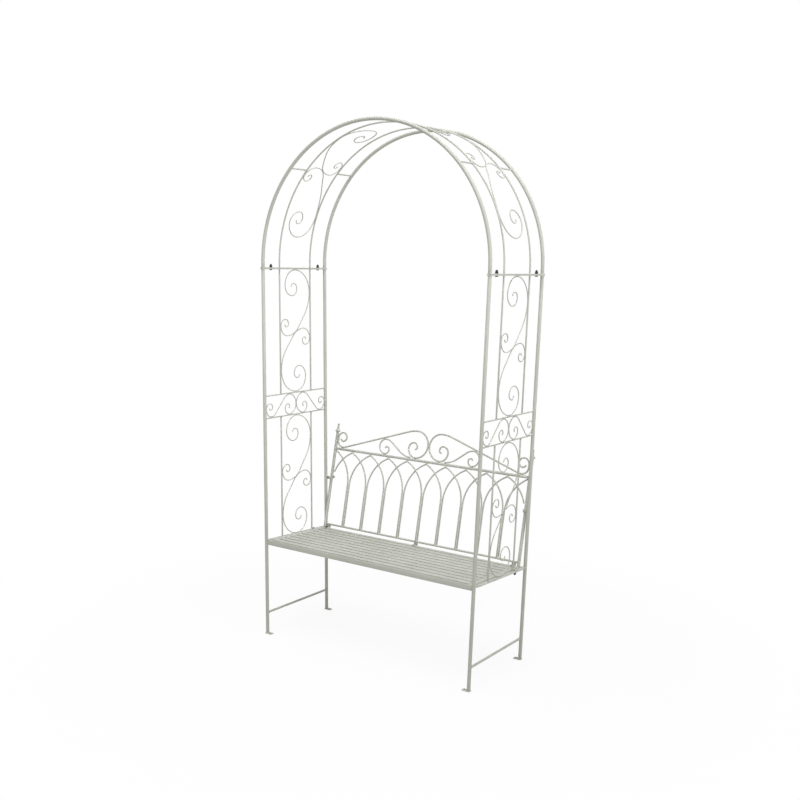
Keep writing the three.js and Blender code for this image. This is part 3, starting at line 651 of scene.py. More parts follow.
# %% Band
CLEAR_SHARE, TOP_SHARE, OUTER_SHARE = 0.85, 0.5, 0.38  # of bar and wire; of the clear height
POST_CURL, TOP_CURL = (0.7, 5), (0.64, 4.9)
BAND_TACK, BAND_CROSS_TACK = (4, 1.6, 1.8), (2.2, 4.0, 2.2)
BAND_TACK_IN, BAND_TACK_OUT, BAND_TACK_UP = 33.0, 45.0, 4.0  # off a post, the middle and a bar


def band_route():
    clear = BAND_SPACING - (BAND_BAR + WIRE) * 2 * CLEAR_SHARE
    reach = BETWEEN - WIRE
    top, outer = clear * TOP_SHARE, clear * OUTER_SHARE
    across = reach - outer - top - WIRE * TOUCH_SHARE
    radii = top + outer
    apart = hypot(across, clear - radii)
    slope = atan2(clear - radii, across) + asin(radii / apart)
    length = sqrt(apart**2 - radii**2)
    foot = (-reach + outer, BAND_HEIGHT + (BAND_SPACING - clear) / 2)
    end, heading, back = backwards(foot, pi, spiral(outer, *POST_CURL, -1))
    rise = [arc(slope, outer), run(length), arc(-slope, top)]
    rise += spiral(top, 1, 1, -1) + spiral(clear - top, *TOP_CURL, -1)
    return end, heading, back + rise


def scroll_band():
    low, high = BAND_HEIGHT, BAND_HEIGHT + BAND_SPACING
    parts = level_rod(BETWEEN, low, BAND_BAR, BAND_WELD)
    parts += level_rod(BETWEEN, high, BAND_BAR, BAND_WELD)
    for way in (1, -1):
        parts += [
            laid(bend_rod(*band_route(), WIRE, WIRE_SIDES), mirrored(way)),
            tack((way * (BETWEEN - BAND_TACK_IN), low + BAND_TACK_UP, 0), BAND_TACK),
            tack((way * BAND_TACK_OUT, high - BAND_TACK_UP, 0), BAND_TACK),
        ]
    return joined([*parts, tack((0, BAND_HEIGHT + BAND_SPACING / 2, 0), BAND_CROSS_TACK)])


# %% [markdown]
# ## Side panels
#
# Each panel is a ladder: two posts of round tube on flat feet, a flat bar across the top where
# the arch is bolted on, a flat bar that the seat lies on, a stretcher near the ground, the scroll
# band, and two thin inner rods that hold the scrolls. The feet point inwards and have a hole for
# a ground peg. The panels lean out a little, which the matrix for a panel takes care of.

# %% Feet and posts
FOOT_LENGTH, FOOT_WIDTH, FOOT = 28.0, 20.0, 3.0
FOOT_CORNER, FOOT_HOLE = 3.0, 3.0
FOOT_EDGE, LUG_EDGE = 0.4, 0.7
RIM_FOLD = 1.2  # radians: an edge that folds more is a rim


def thicken(bm, way):
    """Pulls all faces of flat work along a way, so it becomes solid."""
    made = bmesh.ops.extrude_face_region(bm, geom=bm.faces[:])
    pulled = [e for e in made["geom"] if isinstance(e, bmesh.types.BMVert)]
    bmesh.ops.translate(bm, vec=way, verts=pulled)


def foot_plate(side, y):
    """A rounded plate with a peg hole: outline and hole are filled together, then thickened."""
    bm = bmesh.new()
    half_width = FOOT_WIDTH / 2
    middle = moved((FOOT_LENGTH - POST) / 2, 0, 0)
    stand = middle @ Matrix.Diagonal(((FOOT_LENGTH + POST) / 2, half_width, 1, 1))
    bmesh.ops.create_grid(bm, x_segments=1, y_segments=1, size=1.0, matrix=stand)
    soften(bm, bm.verts[:], FOOT_CORNER, 4, "VERTICES")
    bmesh.ops.delete(bm, geom=bm.faces[:], context="FACES_ONLY")
    hole = moved(FOOT_LENGTH - half_width, 0, 0)
    bmesh.ops.create_circle(bm, segments=20, radius=FOOT_HOLE, matrix=hole)
    bmesh.ops.triangle_fill(bm, edges=bm.edges[:], use_beauty=True, use_dissolve=False)
    thicken(bm, (0, 0, FOOT))
    bmesh.ops.recalc_face_normals(bm, faces=bm.faces)
    soften(bm, [e for e in bm.edges if e.calc_face_angle(0.0) > RIM_FOLD], FOOT_EDGE)
    return laid(bm, UPRIGHT @ moved(side * FOOT_X, y, 0) @ mirrored(-side))


def post(side, y):
    top = JOINT_HEIGHT - FLAT - GAP
    parts = [
        straight((y, FOOT - GAP), (y, top), POST, TUBE_SIDES),
        bead((y, FOOT + WELD_UP, 0), Y_AXIS, POST, FOOT_WELD),
        bead((y, top, 0), Y_AXIS, POST),
    ]
    return [joined(parts, on_panel(side)), foot_plate(side, y)]


def lug(side):
    """The small plate on the rear post that holds the bolt to the backrest."""
    outer = side * (panel_x(STILE_BOLT_Z) - POST / 2)
    inner = side * (STILE_X - LUG_REACH)
    low = (outer, LUG_BACK - LUG, STILE_BOLT_Z - LUG_HEIGHT / 2)
    return laid(slab(low, (inner, LUG_BACK, STILE_BOLT_Z + LUG_HEIGHT / 2), LUG_EDGE), UPRIGHT)


# %% [markdown]
# The seat bars lie in the seat's slope and butt against the posts. Each end is welded on both
# sides of the post, so two tacks stand for it.

# %% Panels
SEAT_BAR_WIDTH, SEAT_BAR_LIP, JOINT_BAR_WIDTH = 36.0, 5.0, 17.0
SEAT_BAR_TOP = -ANGLE - GAP
SEAT_BAR_BOTTOM = SEAT_BAR_TOP - FLAT
SEAT_BAR_OUTER = SEAT_X + POST + SEAT_BAR_LIP
SEAT_BAR_INNER = SEAT_BAR_OUTER - SEAT_BAR_WIDTH
SEAT_TACK, SEAT_TACK_OFF = (3, 1.8, 2.2), 6.0
PANEL_CROSSING = -5.0  # mm from a bay's middle to where its two scrolls cross


def seat_bar(side):
    low = (side * SEAT_BAR_INNER, -BETWEEN, SEAT_BAR_BOTTOM)
    parts = [slab(low, (side * SEAT_BAR_OUTER, BETWEEN, SEAT_BAR_TOP))]
    for way in (-1, 1):
        x = side * (SEAT_X + way * SEAT_TACK_OFF)
        for end in (-1, 1):
            spot = (x, end * (BETWEEN - WELD_UP), SEAT_BAR_TOP - FLAT / 2)
            parts.append(tack(spot, SEAT_TACK))
    return joined(parts, ON_SEAT)


def joint_flat(x, bottom, top):
    """One of the two flat bars that are bolted together at the arch's joint."""
    half, reach = JOINT_BAR_WIDTH / 2, POST_Y + POST
    return slab((x - half, -reach, bottom), (x + half, reach, top))


def over_seat_bar(y):
    up = SEAT_BAR_TOP + GAP + INNER_ROD * tan(SEAT_SLOPE)
    return SEAT_HEIGHT - y * sin(SEAT_SLOPE) + up * cos(SEAT_SLOPE)


# %% Both panels
def side_panel(side, name):
    place = on_panel(side)
    joint = joint_flat(side * ARCH_RADIUS, JOINT_HEIGHT - FLAT, JOINT_HEIGHT - GAP / 2)
    rung = level_rod(BETWEEN, STRETCHER_HEIGHT, STRETCHER, RUNG_WELD, RAIL_SIDES)
    work = (
        ("front_post_tube", joined(post(side, -POST_Y)), "front_post"),
        ("rear_post_tube", joined([*post(side, POST_Y), lug(side)]), "rear_post"),
        ("joint_flat", laid(joint, UPRIGHT), "joint_bar"),
        ("seat_flat", seat_bar(side), "seat_bar"),
        ("leg_rung", joined(rung, place), "stretcher"),
        ("band_work", laid(scroll_band(), place), "scroll_band"),
    )
    welded_set(name, work)
    bays = {
        "upper": (lambda y: BAND_HEIGHT + BAND_SPACING + BAND_BAR + GAP, JOINT_HEIGHT - FLAT - GAP),
        "lower": (over_seat_bar, BAND_HEIGHT - BAND_BAR - GAP),
    }
    for bay, (low_at, top) in bays.items():
        work = []
        for end, y in (("front", -INNER_ROD_Y), ("rear", INNER_ROD_Y)):
            foot = low_at(y)
            rings = [bead((y, z, 0), Y_AXIS, INNER_ROD, FINE_WELD) for z in (foot + GAP, top - GAP)]
            rod = joined([straight((y, foot), (y, top), INNER_ROD), *rings])
            work.append((f"{end}_inner_rod", rod, f"{end}_rod"))
        low = low_at(0) + WIRE + GAP / 2
        work.append(("scroll_work", scroll_pair(low, top - WIRE, PANEL_CROSSING), "scrolls"))
        welded_set(f"{name}_{bay}", work, place)


for name, side in SIDES:
    side_panel(side, name)
print("two side panels made")

# %% [markdown]
# ## The arch
#
# Each half of the arch is a quarter ring: front and rear tube, two inner rods with short ties,
# and a pair of scrolls rolled to the curve, all welded to a flat bar that is bolted onto the
# panel. One tube of each half carries a plug that slides into the other half's open tube at the
# top, so a fine seam shows there. The tube is one straight run and one true arc.

# %% Arch tubes
SPIGOT, SPIGOT_LENGTH, SPIGOT_SHARE = 5.2, 40.0, 0.98
SEAM = 0.7  # mm that a tube stops short of the top
TIE_AT = 457.0  # mm along the curve


def arch_plane(y):
    return Matrix(((1, 0, 0, 0), (0, 0, 1, y), (0, 1, 0, 0), (0, 0, 0, 1)))


def quarter_ring(y, radius, sides, short=GAP):
    """A rod from the joint to the top of the arch, drawn in the arch's own plane."""
    moves = [run(ARCH_LEAD - GAP), arc(-(QUARTER - short / ARCH_RADIUS), ARCH_RADIUS)]
    rod = bend_rod((-ARCH_RADIUS, ARCH_FOOT + GAP), QUARTER, moves, radius, sides)
    return laid(rod, arch_plane(y))


def plug(y):
    """The plug at the top of a tube, half inside its own tube and half inside the next."""
    bent = SPIGOT_LENGTH / ARCH_RADIUS
    start = (-sin(bent) * ARCH_RADIUS, ARCH_CENTRE + cos(bent) * ARCH_RADIUS)
    rod = bend_rod(start, bent, [arc(-2 * bent * SPIGOT_SHARE, ARCH_RADIUS)], SPIGOT, RAIL_SIDES)
    return laid(rod, arch_plane(y))


def arch_tube(y):
    ring = bead((-ARCH_RADIUS, y, ARCH_FOOT + WELD_UP), Z_AXIS, POST)
    return [quarter_ring(y, POST, TUBE_SIDES, SEAM), ring]


def arch_rod(y):
    """An inner rod and its tie to the tube beside it."""
    way = copysign(1, y)
    angle = (TIE_AT - ARCH_LEAD) / ARCH_RADIUS
    spot = Vector((-cos(angle) * ARCH_RADIUS, 0, sin(angle) * ARCH_RADIUS))
    spot.z += ARCH_CENTRE
    tie = straight((0, 0), (0, BETWEEN - abs(y)), ARCH_BAR)
    outer, inner = Vector((0, way * BETWEEN, 0)), Vector((0, y + way * (INNER_ROD - GAP), 0))
    parts = [
        quarter_ring(y, INNER_ROD, ROD_SIDES),
        laid(tie, Matrix.Translation(spot + Vector((0, y, 0))) @ mirrored(1, way)),
        bead((-ARCH_RADIUS, y, ARCH_FOOT + WELD_UP), Z_AXIS, INNER_ROD, FINE_WELD),
        bead(spot + outer, Y_AXIS, ARCH_BAR, TIE_WELD),
        bead(spot + inner, Y_AXIS, ARCH_BAR, FINE_WELD),
    ]
    return joined(parts)


# %% [markdown]
# The scroll pair of the arch is drawn flat, with the big curls nearer the joint and the top, and
# then rolled.

# %% Arch halves
ARCH_BAND, ARCH_SCROLL, ARCH_CROSSING = 137.0, 642.0, 3.0  # mm along the curve


def arch_half(name, way):
    """The left half, or, where way is -1, the same half turned round to be the right one."""
    near, far = ("front", "rear") if way > 0 else ("rear", "front")
    top = ARCH_BAND + ARCH_SCROLL
    scrolls = scroll_pair(ARCH_BAND, top, ARCH_CROSSING, mirror=-1)
    foot = joint_flat(-ARCH_RADIUS, JOINT_HEIGHT + GAP / 2, ARCH_FOOT)
    work = (
        (f"{near}_bow", joined([*arch_tube(-POST_Y), plug(-POST_Y)]), f"{near}_tube"),
        (f"{far}_bow", joined(arch_tube(POST_Y)), f"{far}_tube"),
        (f"{near}_inner_bow", arch_rod(-INNER_ROD_Y), f"{near}_rod"),
        (f"{far}_inner_bow", arch_rod(INNER_ROD_Y), f"{far}_rod"),
        ("foot_flat", foot, "foot_bar"),
        ("scroll_work", roll_onto_arch(scrolls), "scrolls"),
    )
    welded_set(name, work, UPRIGHT @ mirrored(way, way))


arch_half("arch_left", 1)
arch_half("arch_right", -1)
print("two arch halves made")

# %% [markdown]
# ## The seat
#
# Nine flat slats lie along the seat inside a frame. The front and rear rails are angle bar with a
# rolled inner corner; the front one shows only a narrow top. The ends are flat bar lying on the
# panels' seat bars, with an ear on each side for the rear bolt. An angle's outline is a few
# corners, rounded as vertices while it is still flat and then pulled to its length. Each slat is a
# bevelled bar of its own. The slats have their own finish, whose sides are darkened as a painted
# shade for the dark gaps between them.

# %% Seat frame
SEAT_LOWEST = SEAT_HEIGHT - SEAT_BACK * sin(SEAT_SLOPE) - ANGLE_HEIGHT * cos(SEAT_SLOPE)
SEAT_REACH = panel_x(SEAT_LOWEST) - POST - 2 * GAP
EAR_WIDTH, EAR_REACH, EAR_SUNK, EAR_BACK = 18.0, 18.0, 1.0, 91.5
EAR_Y = POST_Y - EAR_BACK
FRONT_TOP = 6.5  # mm of the front rail that shows from above
INNER_CORNER, OUTER_CORNER = 2.0, 0.7
SIDE_EDGE, EAR_EDGE = 0.5, 0.9


def angle_rail(front, way, flat_side, top_reach, leg_reach):
    """Angle bar along the seat. Its leg hangs at `front`; the flat side points along `way`."""
    outline = (
        (0, 0),
        (way * flat_side, 0),
        (way * flat_side, -ANGLE),
        (way * ANGLE, -ANGLE),
        (way * ANGLE, -ANGLE_HEIGHT),
        (0, -ANGLE_HEIGHT),
    )
    bm = bmesh.new()
    verts = [bm.verts.new((-leg_reach, front + y, z)) for y, z in outline]
    bm.faces.new(verts)
    soften(bm, [verts[3]], INNER_CORNER, 3, "VERTICES")
    soften(bm, verts[:3] + verts[4:], OUTER_CORNER, 3, "VERTICES")
    thicken(bm, (2 * leg_reach, 0, 0))
    parts = [bm]
    if top_reach > leg_reach:
        for side in (-1, 1):
            low = (side * (leg_reach - GAP), front, -ANGLE)
            parts.append(slab(low, (side * top_reach, front + way * flat_side, 0)))
    return parts


def seat_frame():
    parts = angle_rail(SEAT_FRONT, 1, FRONT_TOP, SEAT_REACH, SEAT_REACH)
    parts += angle_rail(SEAT_BACK, -1, ANGLE_LEG, SEAT_REACH, SEAT_BAR_INNER - GAP)
    front, back = SEAT_FRONT + FRONT_TOP - GAP, SEAT_BACK - ANGLE_LEG + GAP
    ear_front, ear_back = EAR_Y - EAR_WIDTH / 2, EAR_Y + EAR_WIDTH / 2
    for side in (-1, 1):
        inner, outer = side * (SEAT_REACH - ANGLE_LEG), side * SEAT_REACH
        parts.append(slab((inner, front, -ANGLE), (outer, back, 0), SIDE_EDGE))
        inner, outer = side * (SEAT_REACH - EAR_SUNK), side * (SEAT_REACH + EAR_REACH)
        parts.append(slab((inner, ear_front, -ANGLE), (outer, ear_back, 0), EAR_EDGE))
    return joined(parts, ON_SEAT)


piece("seat_angle_frame", seat_frame(), PAINT, "seat_frame")
print("the seat frame reaches", round(SEAT_REACH, 1), "mm to each side")

# %% Seat slats
SLATS, SLAT_WIDTH, SLAT_SPACE = 9, 31.5, 8.0
BEARER_WIDTH, BEARER = 18.0, 4.0


def seat_slats():
    under = -ANGLE - GAP
    reach = SEAT_REACH - ANGLE_LEG - GAP
    parts = []
    for i in range(SLATS):
        front = SEAT_FRONT + FRONT_TOP + SLAT_SPACE + i * (SLAT_WIDTH + SLAT_SPACE)
        parts.append(slab((-reach, front, under - GAP), (reach, front + SLAT_WIDTH, 0), CUT_EDGE))
    near, far = SEAT_FRONT + ANGLE + GAP, SEAT_BACK - ANGLE - GAP
    for way in (-1, 1):
        x = way * SEAT_REACH / 3
        low = (x - BEARER_WIDTH / 2, near, under - BEARER)
        parts.append(slab(low, (x + BEARER_WIDTH / 2, far, under)))
    last = SEAT_BACK - ANGLE_LEG - front - SLAT_WIDTH
    print("slats:", SLATS, "with", SLAT_SPACE, "mm between them and", round(last, 1), "at the back")
    return joined(parts, ON_SEAT)


piece("seat_slat_deck", seat_slats(), SLAT_PAINT, "seat_slats")

# %% [markdown]
# ## The back
#
# The back leans between two turned stiles that stand on the seat's rear corners. Pairs of thin
# rods rise side by side; at each pair one rod bends left in front and the other bends right
# behind, and the arcs cross into a row of pointed arches. That is one route, used over and over
# with its mirror image, one bay further on each time.

# %% Interlaced arches
SPRING_SHARE, BESIDE_SHARE = 0.56, 0.85  # of the height, and of the bar
BOTTOM_RAIL_UP = 8.0
ARCH_TACK, ARCH_TACK_UP = (4, 2, 3), 1.2


def pointed_arches():
    bay = 2 * STILE_X / BACK_BAYS
    low = BOTTOM_RAIL_UP + BOTTOM_RAIL + GAP
    high = BACK_HEIGHT - TOP_RAIL - ARCH_BAR - GAP
    spring = low + (high - low) * SPRING_SHARE
    rise = high - spring
    beside = ARCH_BAR * BESIDE_SHARE
    edge = STILE + ARCH_BAR + GAP
    parts = []
    for i in range(BACK_BAYS + 1):
        for way in (-1, 1):
            if not 0 <= i + way <= BACK_BAYS:
                continue
            at_stile = i in (0, BACK_BAYS)
            to_stile = i + way in (0, BACK_BAYS)
            x = -STILE_X + i * bay + way * (edge if at_stile else beside)
            reach = bay - beside - (edge if to_stile else 0)
            bow = (reach**2 + rise**2) / (2 * reach)
            missed = acos(1 - (edge - beside) / bow) if at_stile else 0.0
            moves = [arc(missed - asin(rise / bow), bow)]
            foot = spring + bow * sin(missed)
            if not at_stile:
                moves.insert(0, run(spring - low))
                foot = low
            bar = bend_rod((0, foot), QUARTER - missed, moves, ARCH_BAR, BAR_SIDES)
            parts.append(laid(bar, moved(x, 0, way * beside) @ mirrored(way)))
            top = -STILE_X + (i + way) * bay - way * (edge if to_stile else 0)
            parts.append(tack((top, high + ARCH_TACK_UP, way * beside), ARCH_TACK))
    return joined(parts, ON_BACK)


piece("back_pointed_arches", pointed_arches(), PAINT, "back_arch_bars")
print("pointed arches every", round(2 * STILE_X / BACK_BAYS, 1), "mm along the back")

# %% Rails and tabs
RAIL_REACH = STILE_X - STILE - GAP
TAB_WIDTH, TAB, TAB_REACH, TAB_SHARE = 20.0, 3.0, 20.0, 0.478
TAB_X = [way * 2 * STILE_X * TAB_SHARE for way in (-1, 0, 1)]
TAB_BOLT_Y = SEAT_BACK - ANGLE_LEG / 2 - ANGLE


def back_rail(up, radius):
    return joined(level_rod(RAIL_REACH, up, radius, sides=RAIL_SIDES), ON_BACK)


def rail_tabs():
    """Small angle pieces that hang from the bottom rail and take the bolts into the seat."""
    back = BACK_FOOT_DEPTH + sin(BACK_LEAN) * BOTTOM_RAIL_UP
    rail = SEAT_HEIGHT + cos(BACK_LEAN) * BOTTOM_RAIL_UP
    height = rail - (SEAT_HEIGHT - back * sin(SEAT_SLOPE))
    parts = []
    for x in TAB_X:
        left, right = x - TAB_WIDTH / 2, x + TAB_WIDTH / 2
        foot = slab((left, back - TAB_REACH - TAB, GAP), (right, back, GAP + TAB), CUT_EDGE)
        parts += [foot, slab((left, back - TAB, GAP), (right, back, height), CUT_EDGE)]
    return joined(parts, ON_SEAT)


piece("back_top_rod", back_rail(BACK_HEIGHT, TOP_RAIL), PAINT, "back_top_rail")
bottom = joined([back_rail(BOTTOM_RAIL_UP, BOTTOM_RAIL), rail_tabs()])
piece("back_bottom_rod", bottom, PAINT, "back_bottom_rail")
print("rails made, with tabs at", [round(x) for x in TAB_X], "mm")

# %% [markdown]
# ## The crest
#
# Over the top rail two long rods rise from a curl beside each stile to a pair of big loops that
# meet in the middle, and under each rise sits a small S. The long rod's rise is a tight bend at its
# foot and a wide one at the top with a straight run between them; its slope follows from the room.

# %% Sizes of the crest
CURL_SHARE, FOOT_SHARE, BOW_SHARE, WELD_SHARE = 0.25, 0.5, 1.4, 0.105  # of the crest's rise
STILE_CURL, LOOP_CURL, UNDER_CURL = (0.85, 3.8), (0.67, 3.9), (0.62, 3.1)
UNDER_SHARE = 0.224  # of the back's width: where the small S sits
TAIL_SHARE, TAIL_BOW_SHARE, TAIL_FOOT_SHARE = 2.05, 1.6, 3.0  # of the slope; of the S's loop


def crest_sizes():
    """Start of the rise, radii of its two bends, radius of the curl and the loop, slope, run."""
    base = BACK_HEIGHT + TOP_RAIL + CREST + GAP
    curl, loop = CREST_RISE * CURL_SHARE, CREST_RISE / 2
    foot, bow = CREST_RISE * FOOT_SHARE, CREST_RISE * BOW_SHARE
    start = (-STILE_X + STILE + CREST + GAP + curl, base)
    across = -CREST - GAP / 2 - loop - start[0]
    fall = CREST_RISE - foot - bow
    slope = atan2(fall, across) + asin((foot + bow) / hypot(across, fall))
    length = sqrt(across**2 + fall**2 - (foot + bow) ** 2)
    return start, foot, bow, curl, loop, slope, length


# %% Crest rods and small scrolls
CREST_TACK, CURL_TACK = (6, 1.8, 2.4), (6, 1.8, 2.2)
BOW_TACK, STILE_TACK, LOOP_TACK = (7, 1.8, 2.4), (1.8, 8, 2.4), (2.0, 6, 2.6)


def crest_rod(side):
    start, foot, bow, curl, loop, slope, length = crest_sizes()
    x, base = start
    weld = CREST_RISE * WELD_SHARE
    inner = spiral(curl * STILE_CURL[0], *STILE_CURL, -1)
    rolled = [arc(-QUARTER, curl), run(weld), *inner]
    end, heading, back = backwards(start, pi, rolled)
    rise = [arc(slope, foot), run(length), arc(-slope, bow)]
    rise += spiral(loop, 1, 2, -1) + spiral(loop * LOOP_CURL[0], *LOOP_CURL, -1)
    parts = [
        bend_rod(end, heading, back + rise, CREST),
        tack((x, base - CREST, 0), BOW_TACK),
        tack((x - curl - CREST, base + curl + weld / 2, 0), STILE_TACK),
        tack((-CREST - GAP - loop, base - CREST, 0), CREST_TACK),
    ]
    if side < 0:
        parts.append(tack((0, base + loop, 0), LOOP_TACK))
    return joined(parts, ON_BACK @ mirrored(-side))


def crest_curl(side):
    start, foot, _, _, _, slope, _ = crest_sizes()
    x = -2 * STILE_X * UNDER_SHARE
    base = BACK_HEIGHT + TOP_RAIL + CREST_CURL + GAP
    run_x = start[0] + foot * sin(slope)
    run_y = start[1] + foot * (1 - cos(slope))
    above = run_y + (x - run_x) * tan(slope) - base
    apart = (CREST + CREST_CURL + GAP) / cos(slope)
    loop = (above - apart) / (1 + 1 / cos(slope))
    turned = slope * TAIL_SHARE
    bow, tail_foot = loop * TAIL_BOW_SHARE, loop * TAIL_FOOT_SHARE
    fall = 2 * loop - (bow + tail_foot) * (1 - cos(turned))
    tail = [arc(-turned, bow), run(fall / sin(turned)), arc(turned, tail_foot)]
    end, heading, back = backwards((x, base + 2 * loop), 0, tail)
    roll = spiral(loop, 1, 2, 1) + spiral(loop * UNDER_CURL[0], *UNDER_CURL, 1)
    tacks = [tack((at, base - CREST_CURL, 0), CURL_TACK) for at in (x, end[0] - CREST)]
    rod = bend_rod(end, heading, back + roll, CREST_CURL)
    return joined([rod, *tacks], ON_BACK @ mirrored(-side))


for name, side in SIDES:
    work = (("bow", crest_rod(side), "rod"), ("scroll", crest_curl(side), "curl"))
    for label, bm, node in work:
        piece(f"{name}_crest_{label}", bm, PAINT, f"{name}_crest_{node}")
print("crest slope, degrees:", round(degrees(crest_sizes()[5]), 1))

# %% [markdown]
# ## Turned finials
#
# Each stile ends in a turned finial: a wide collar, a hollowed cone and a little ball. A lathe
# makes it, and here spin does the same: half the outline is drawn and turned once round.

# %% Stiles
FINIAL, COLLAR, CONE_FOOT, CONE_TIP, CONE, BALL, NECK = 13.0, 7.0, 9.0, 4.5, 23.0, 5.5, 20.0
FOOT_BREAK, HOLLOW, BALL_SHARE = 0.6, 1.2, 0.7
BALL_FROM = -0.93  # radians below level, where the ball leaves the cone
STILE_FOOT = -SEAT_BACK * sin(SEAT_SLOPE) / cos(BACK_LEAN)


def lathe(outline, steps=32):
    """Turns a half outline, radius and height, once round the Z axis."""
    bm = bmesh.new()
    verts = [bm.verts.new((radius, 0, height)) for radius, height in outline]
    edges = [bm.edges.new(pair) for pair in zip(verts, verts[1:])]
    turn_round(bm, verts + edges, steps)
    bmesh.ops.remove_doubles(bm, verts=bm.verts, dist=0.001)
    bmesh.ops.recalc_face_normals(bm, faces=bm.faces)
    return bm


def stile(side):
    neck = BACK_HEIGHT + CREST_RISE / 2 + NECK
    collar = neck + COLLAR
    ball = collar + CONE + BALL * BALL_SHARE
    outline = [(0, STILE_FOOT), (STILE - FOOT_BREAK, STILE_FOOT)]
    outline += [(STILE, STILE_FOOT + FOOT_BREAK), (STILE, neck)]
    for i in range(9):
        turn = pi * i / 8
        bulge = (FINIAL - CONE_FOOT) * sin(turn)
        outline.append((CONE_FOOT + bulge, neck + COLLAR / 2 - COLLAR / 2 * cos(turn)))
    for i in range(1, 8):
        t = i / 8
        taper = (CONE_TIP - CONE_FOOT) * t
        outline.append((CONE_FOOT + taper - HOLLOW * sin(pi * t), collar + CONE * t))
    for i in range(1, 9):
        turn = BALL_FROM + (QUARTER - BALL_FROM) * i / 8
        outline.append((BALL * cos(turn), ball + BALL * sin(turn)))
    place = moved(side * STILE_X, BACK_FOOT_DEPTH, SEAT_HEIGHT)
    lean = Matrix.Rotation(-BACK_LEAN, 4, "X")
    return laid(lathe(outline), UPRIGHT @ place @ lean @ mirrored(1, -1))


for name, side in SIDES:
    piece(f"{name}_turned_stile", stile(side), PAINT, f"{name}_stile")
print("two stiles turned, finials", 2 * FINIAL, "mm wide")

# %% [markdown]
# ## Bolts and domed nuts
#
# The bolts are ordinary six millimetre ones with a hexagon head, and a domed nut whose cap
# covers the thread. Hexagon and dome are two shapes: a six-sided prism with chamfered corners,
# and a dome turned on the lathe. A thin washer lies under the nut. The heads on the seat are
# painted like the frame, so that they hardly show, and their nuts underneath are black; only the
# left bolt of the back shows a black head. A small black screw near the top of the arch locks the
# plug in the rear tube.

# %% Hexagon, dome and bolt
SHANK, HEAD, HEAD_HEIGHT = 3.0, 6.2, 3.6
NUT, NUT_HEIGHT, NUT_LESS, NUT_CHAMFER, WASHER, WASHER_BREAK = 6.8, 7.0, 0.2, 0.35, 1.2, 0.3
DOME, DOME_SUNK, DOME_SHARE = 8.0, 0.4, 0.84
SUNK = 1.0  # mm that the bits of a bolt reach into each other


def hexagon(radius, low, high):
    bm = bmesh.new()
    stand = moved(0, 0, (low + high) / 2)
    bmesh.ops.create_cone(
        bm, cap_ends=True, segments=6, radius1=radius, radius2=radius, depth=high - low, matrix=stand
    )
    soften(bm, bm.edges[:], NUT_CHAMFER)
    return bm


def domed(radius, low, height, steps):
    """The points of a dome's half outline, from its rim up to its middle."""
    turns = [QUARTER * i / steps for i in range(1, steps + 1)]
    return [(radius * cos(turn), low + height * sin(turn)) for turn in turns]


def bolt(grip):
    """Upright: head below zero, shank through the grip, washer, nut and dome above."""
    under, over = -GAP, grip + GAP
    nut, cap, rim = over + WASHER, NUT * DOME_SHARE, over + NUT_HEIGHT - DOME_SUNK
    foot, tip = under - SUNK, over + SUNK
    shank = [(0, foot), (SHANK, foot), (SHANK, tip), (0, tip)]
    washer = [(SHANK, over), (NUT - WASHER_BREAK, over), (NUT, over + WASHER_BREAK)]
    washer += [(NUT, nut), (SHANK, nut)]
    dome = [(0, nut + SUNK), (cap, nut + SUNK), (cap, rim), *domed(cap, rim, DOME + DOME_SUNK, 8)]
    parts = [
        hexagon(HEAD, under - HEAD_HEIGHT, under),
        lathe(shank, 16),
        lathe(washer, 28),
        hexagon(NUT - NUT_LESS, nut, over + NUT_HEIGHT),
        lathe(dome, 28),
    ]
    return joined(parts)


# %% Fasteners in place
SCREW, SCREW_DEPTH, SCREW_HEAD, SCREW_RIM, SCREW_DOME = 1.8, 2.5, 3.4, 0.9, 1.5
SCREW_SEAT, SCREW_BREAK = 0.1, 0.2
SCREW_X = -27.0  # of the lock screw, from the arch's top
SCREW_TILT = radians(65)  # forwards from upright


def paint_head(made, height):
    """Gives the painted finish to the part of a bolt that is above a height in millimetres."""
    made.data.materials.append(PAINT)
    for face in made.data.polygons:
        if face.center.z > height * MM:
            face.material_index = 1


def seat_holes(side):
    front = (side * (SEAT_REACH - HEAD - TAB), SEAT_FRONT + ANGLE_LEG)
    return front, (side * (SEAT_REACH + EAR_REACH / 2), EAR_Y)


def lock_screw():
    """The small screw that holds the plug in the rear tube, on the tube's upper front side."""
    outline = [(0, -SCREW_DEPTH), (SCREW, -SCREW_DEPTH), (SCREW, SCREW_SEAT)]
    outline += [(SCREW_HEAD - SCREW_BREAK, SCREW_SEAT), (SCREW_HEAD, SCREW_SEAT + SCREW_BREAK)]
    outline.append((SCREW_HEAD, SCREW_RIM))
    outline += domed(SCREW_HEAD, SCREW_RIM, SCREW_DOME, 6)
    top = ARCH_CENTRE + sqrt(ARCH_RADIUS**2 - SCREW_X**2)
    tube = moved(SCREW_X, POST_Y, top) @ Matrix.Rotation(SCREW_TILT, 4, "X")
    return laid(lathe(outline, 24), UPRIGHT @ tube @ moved(0, 0, POST))


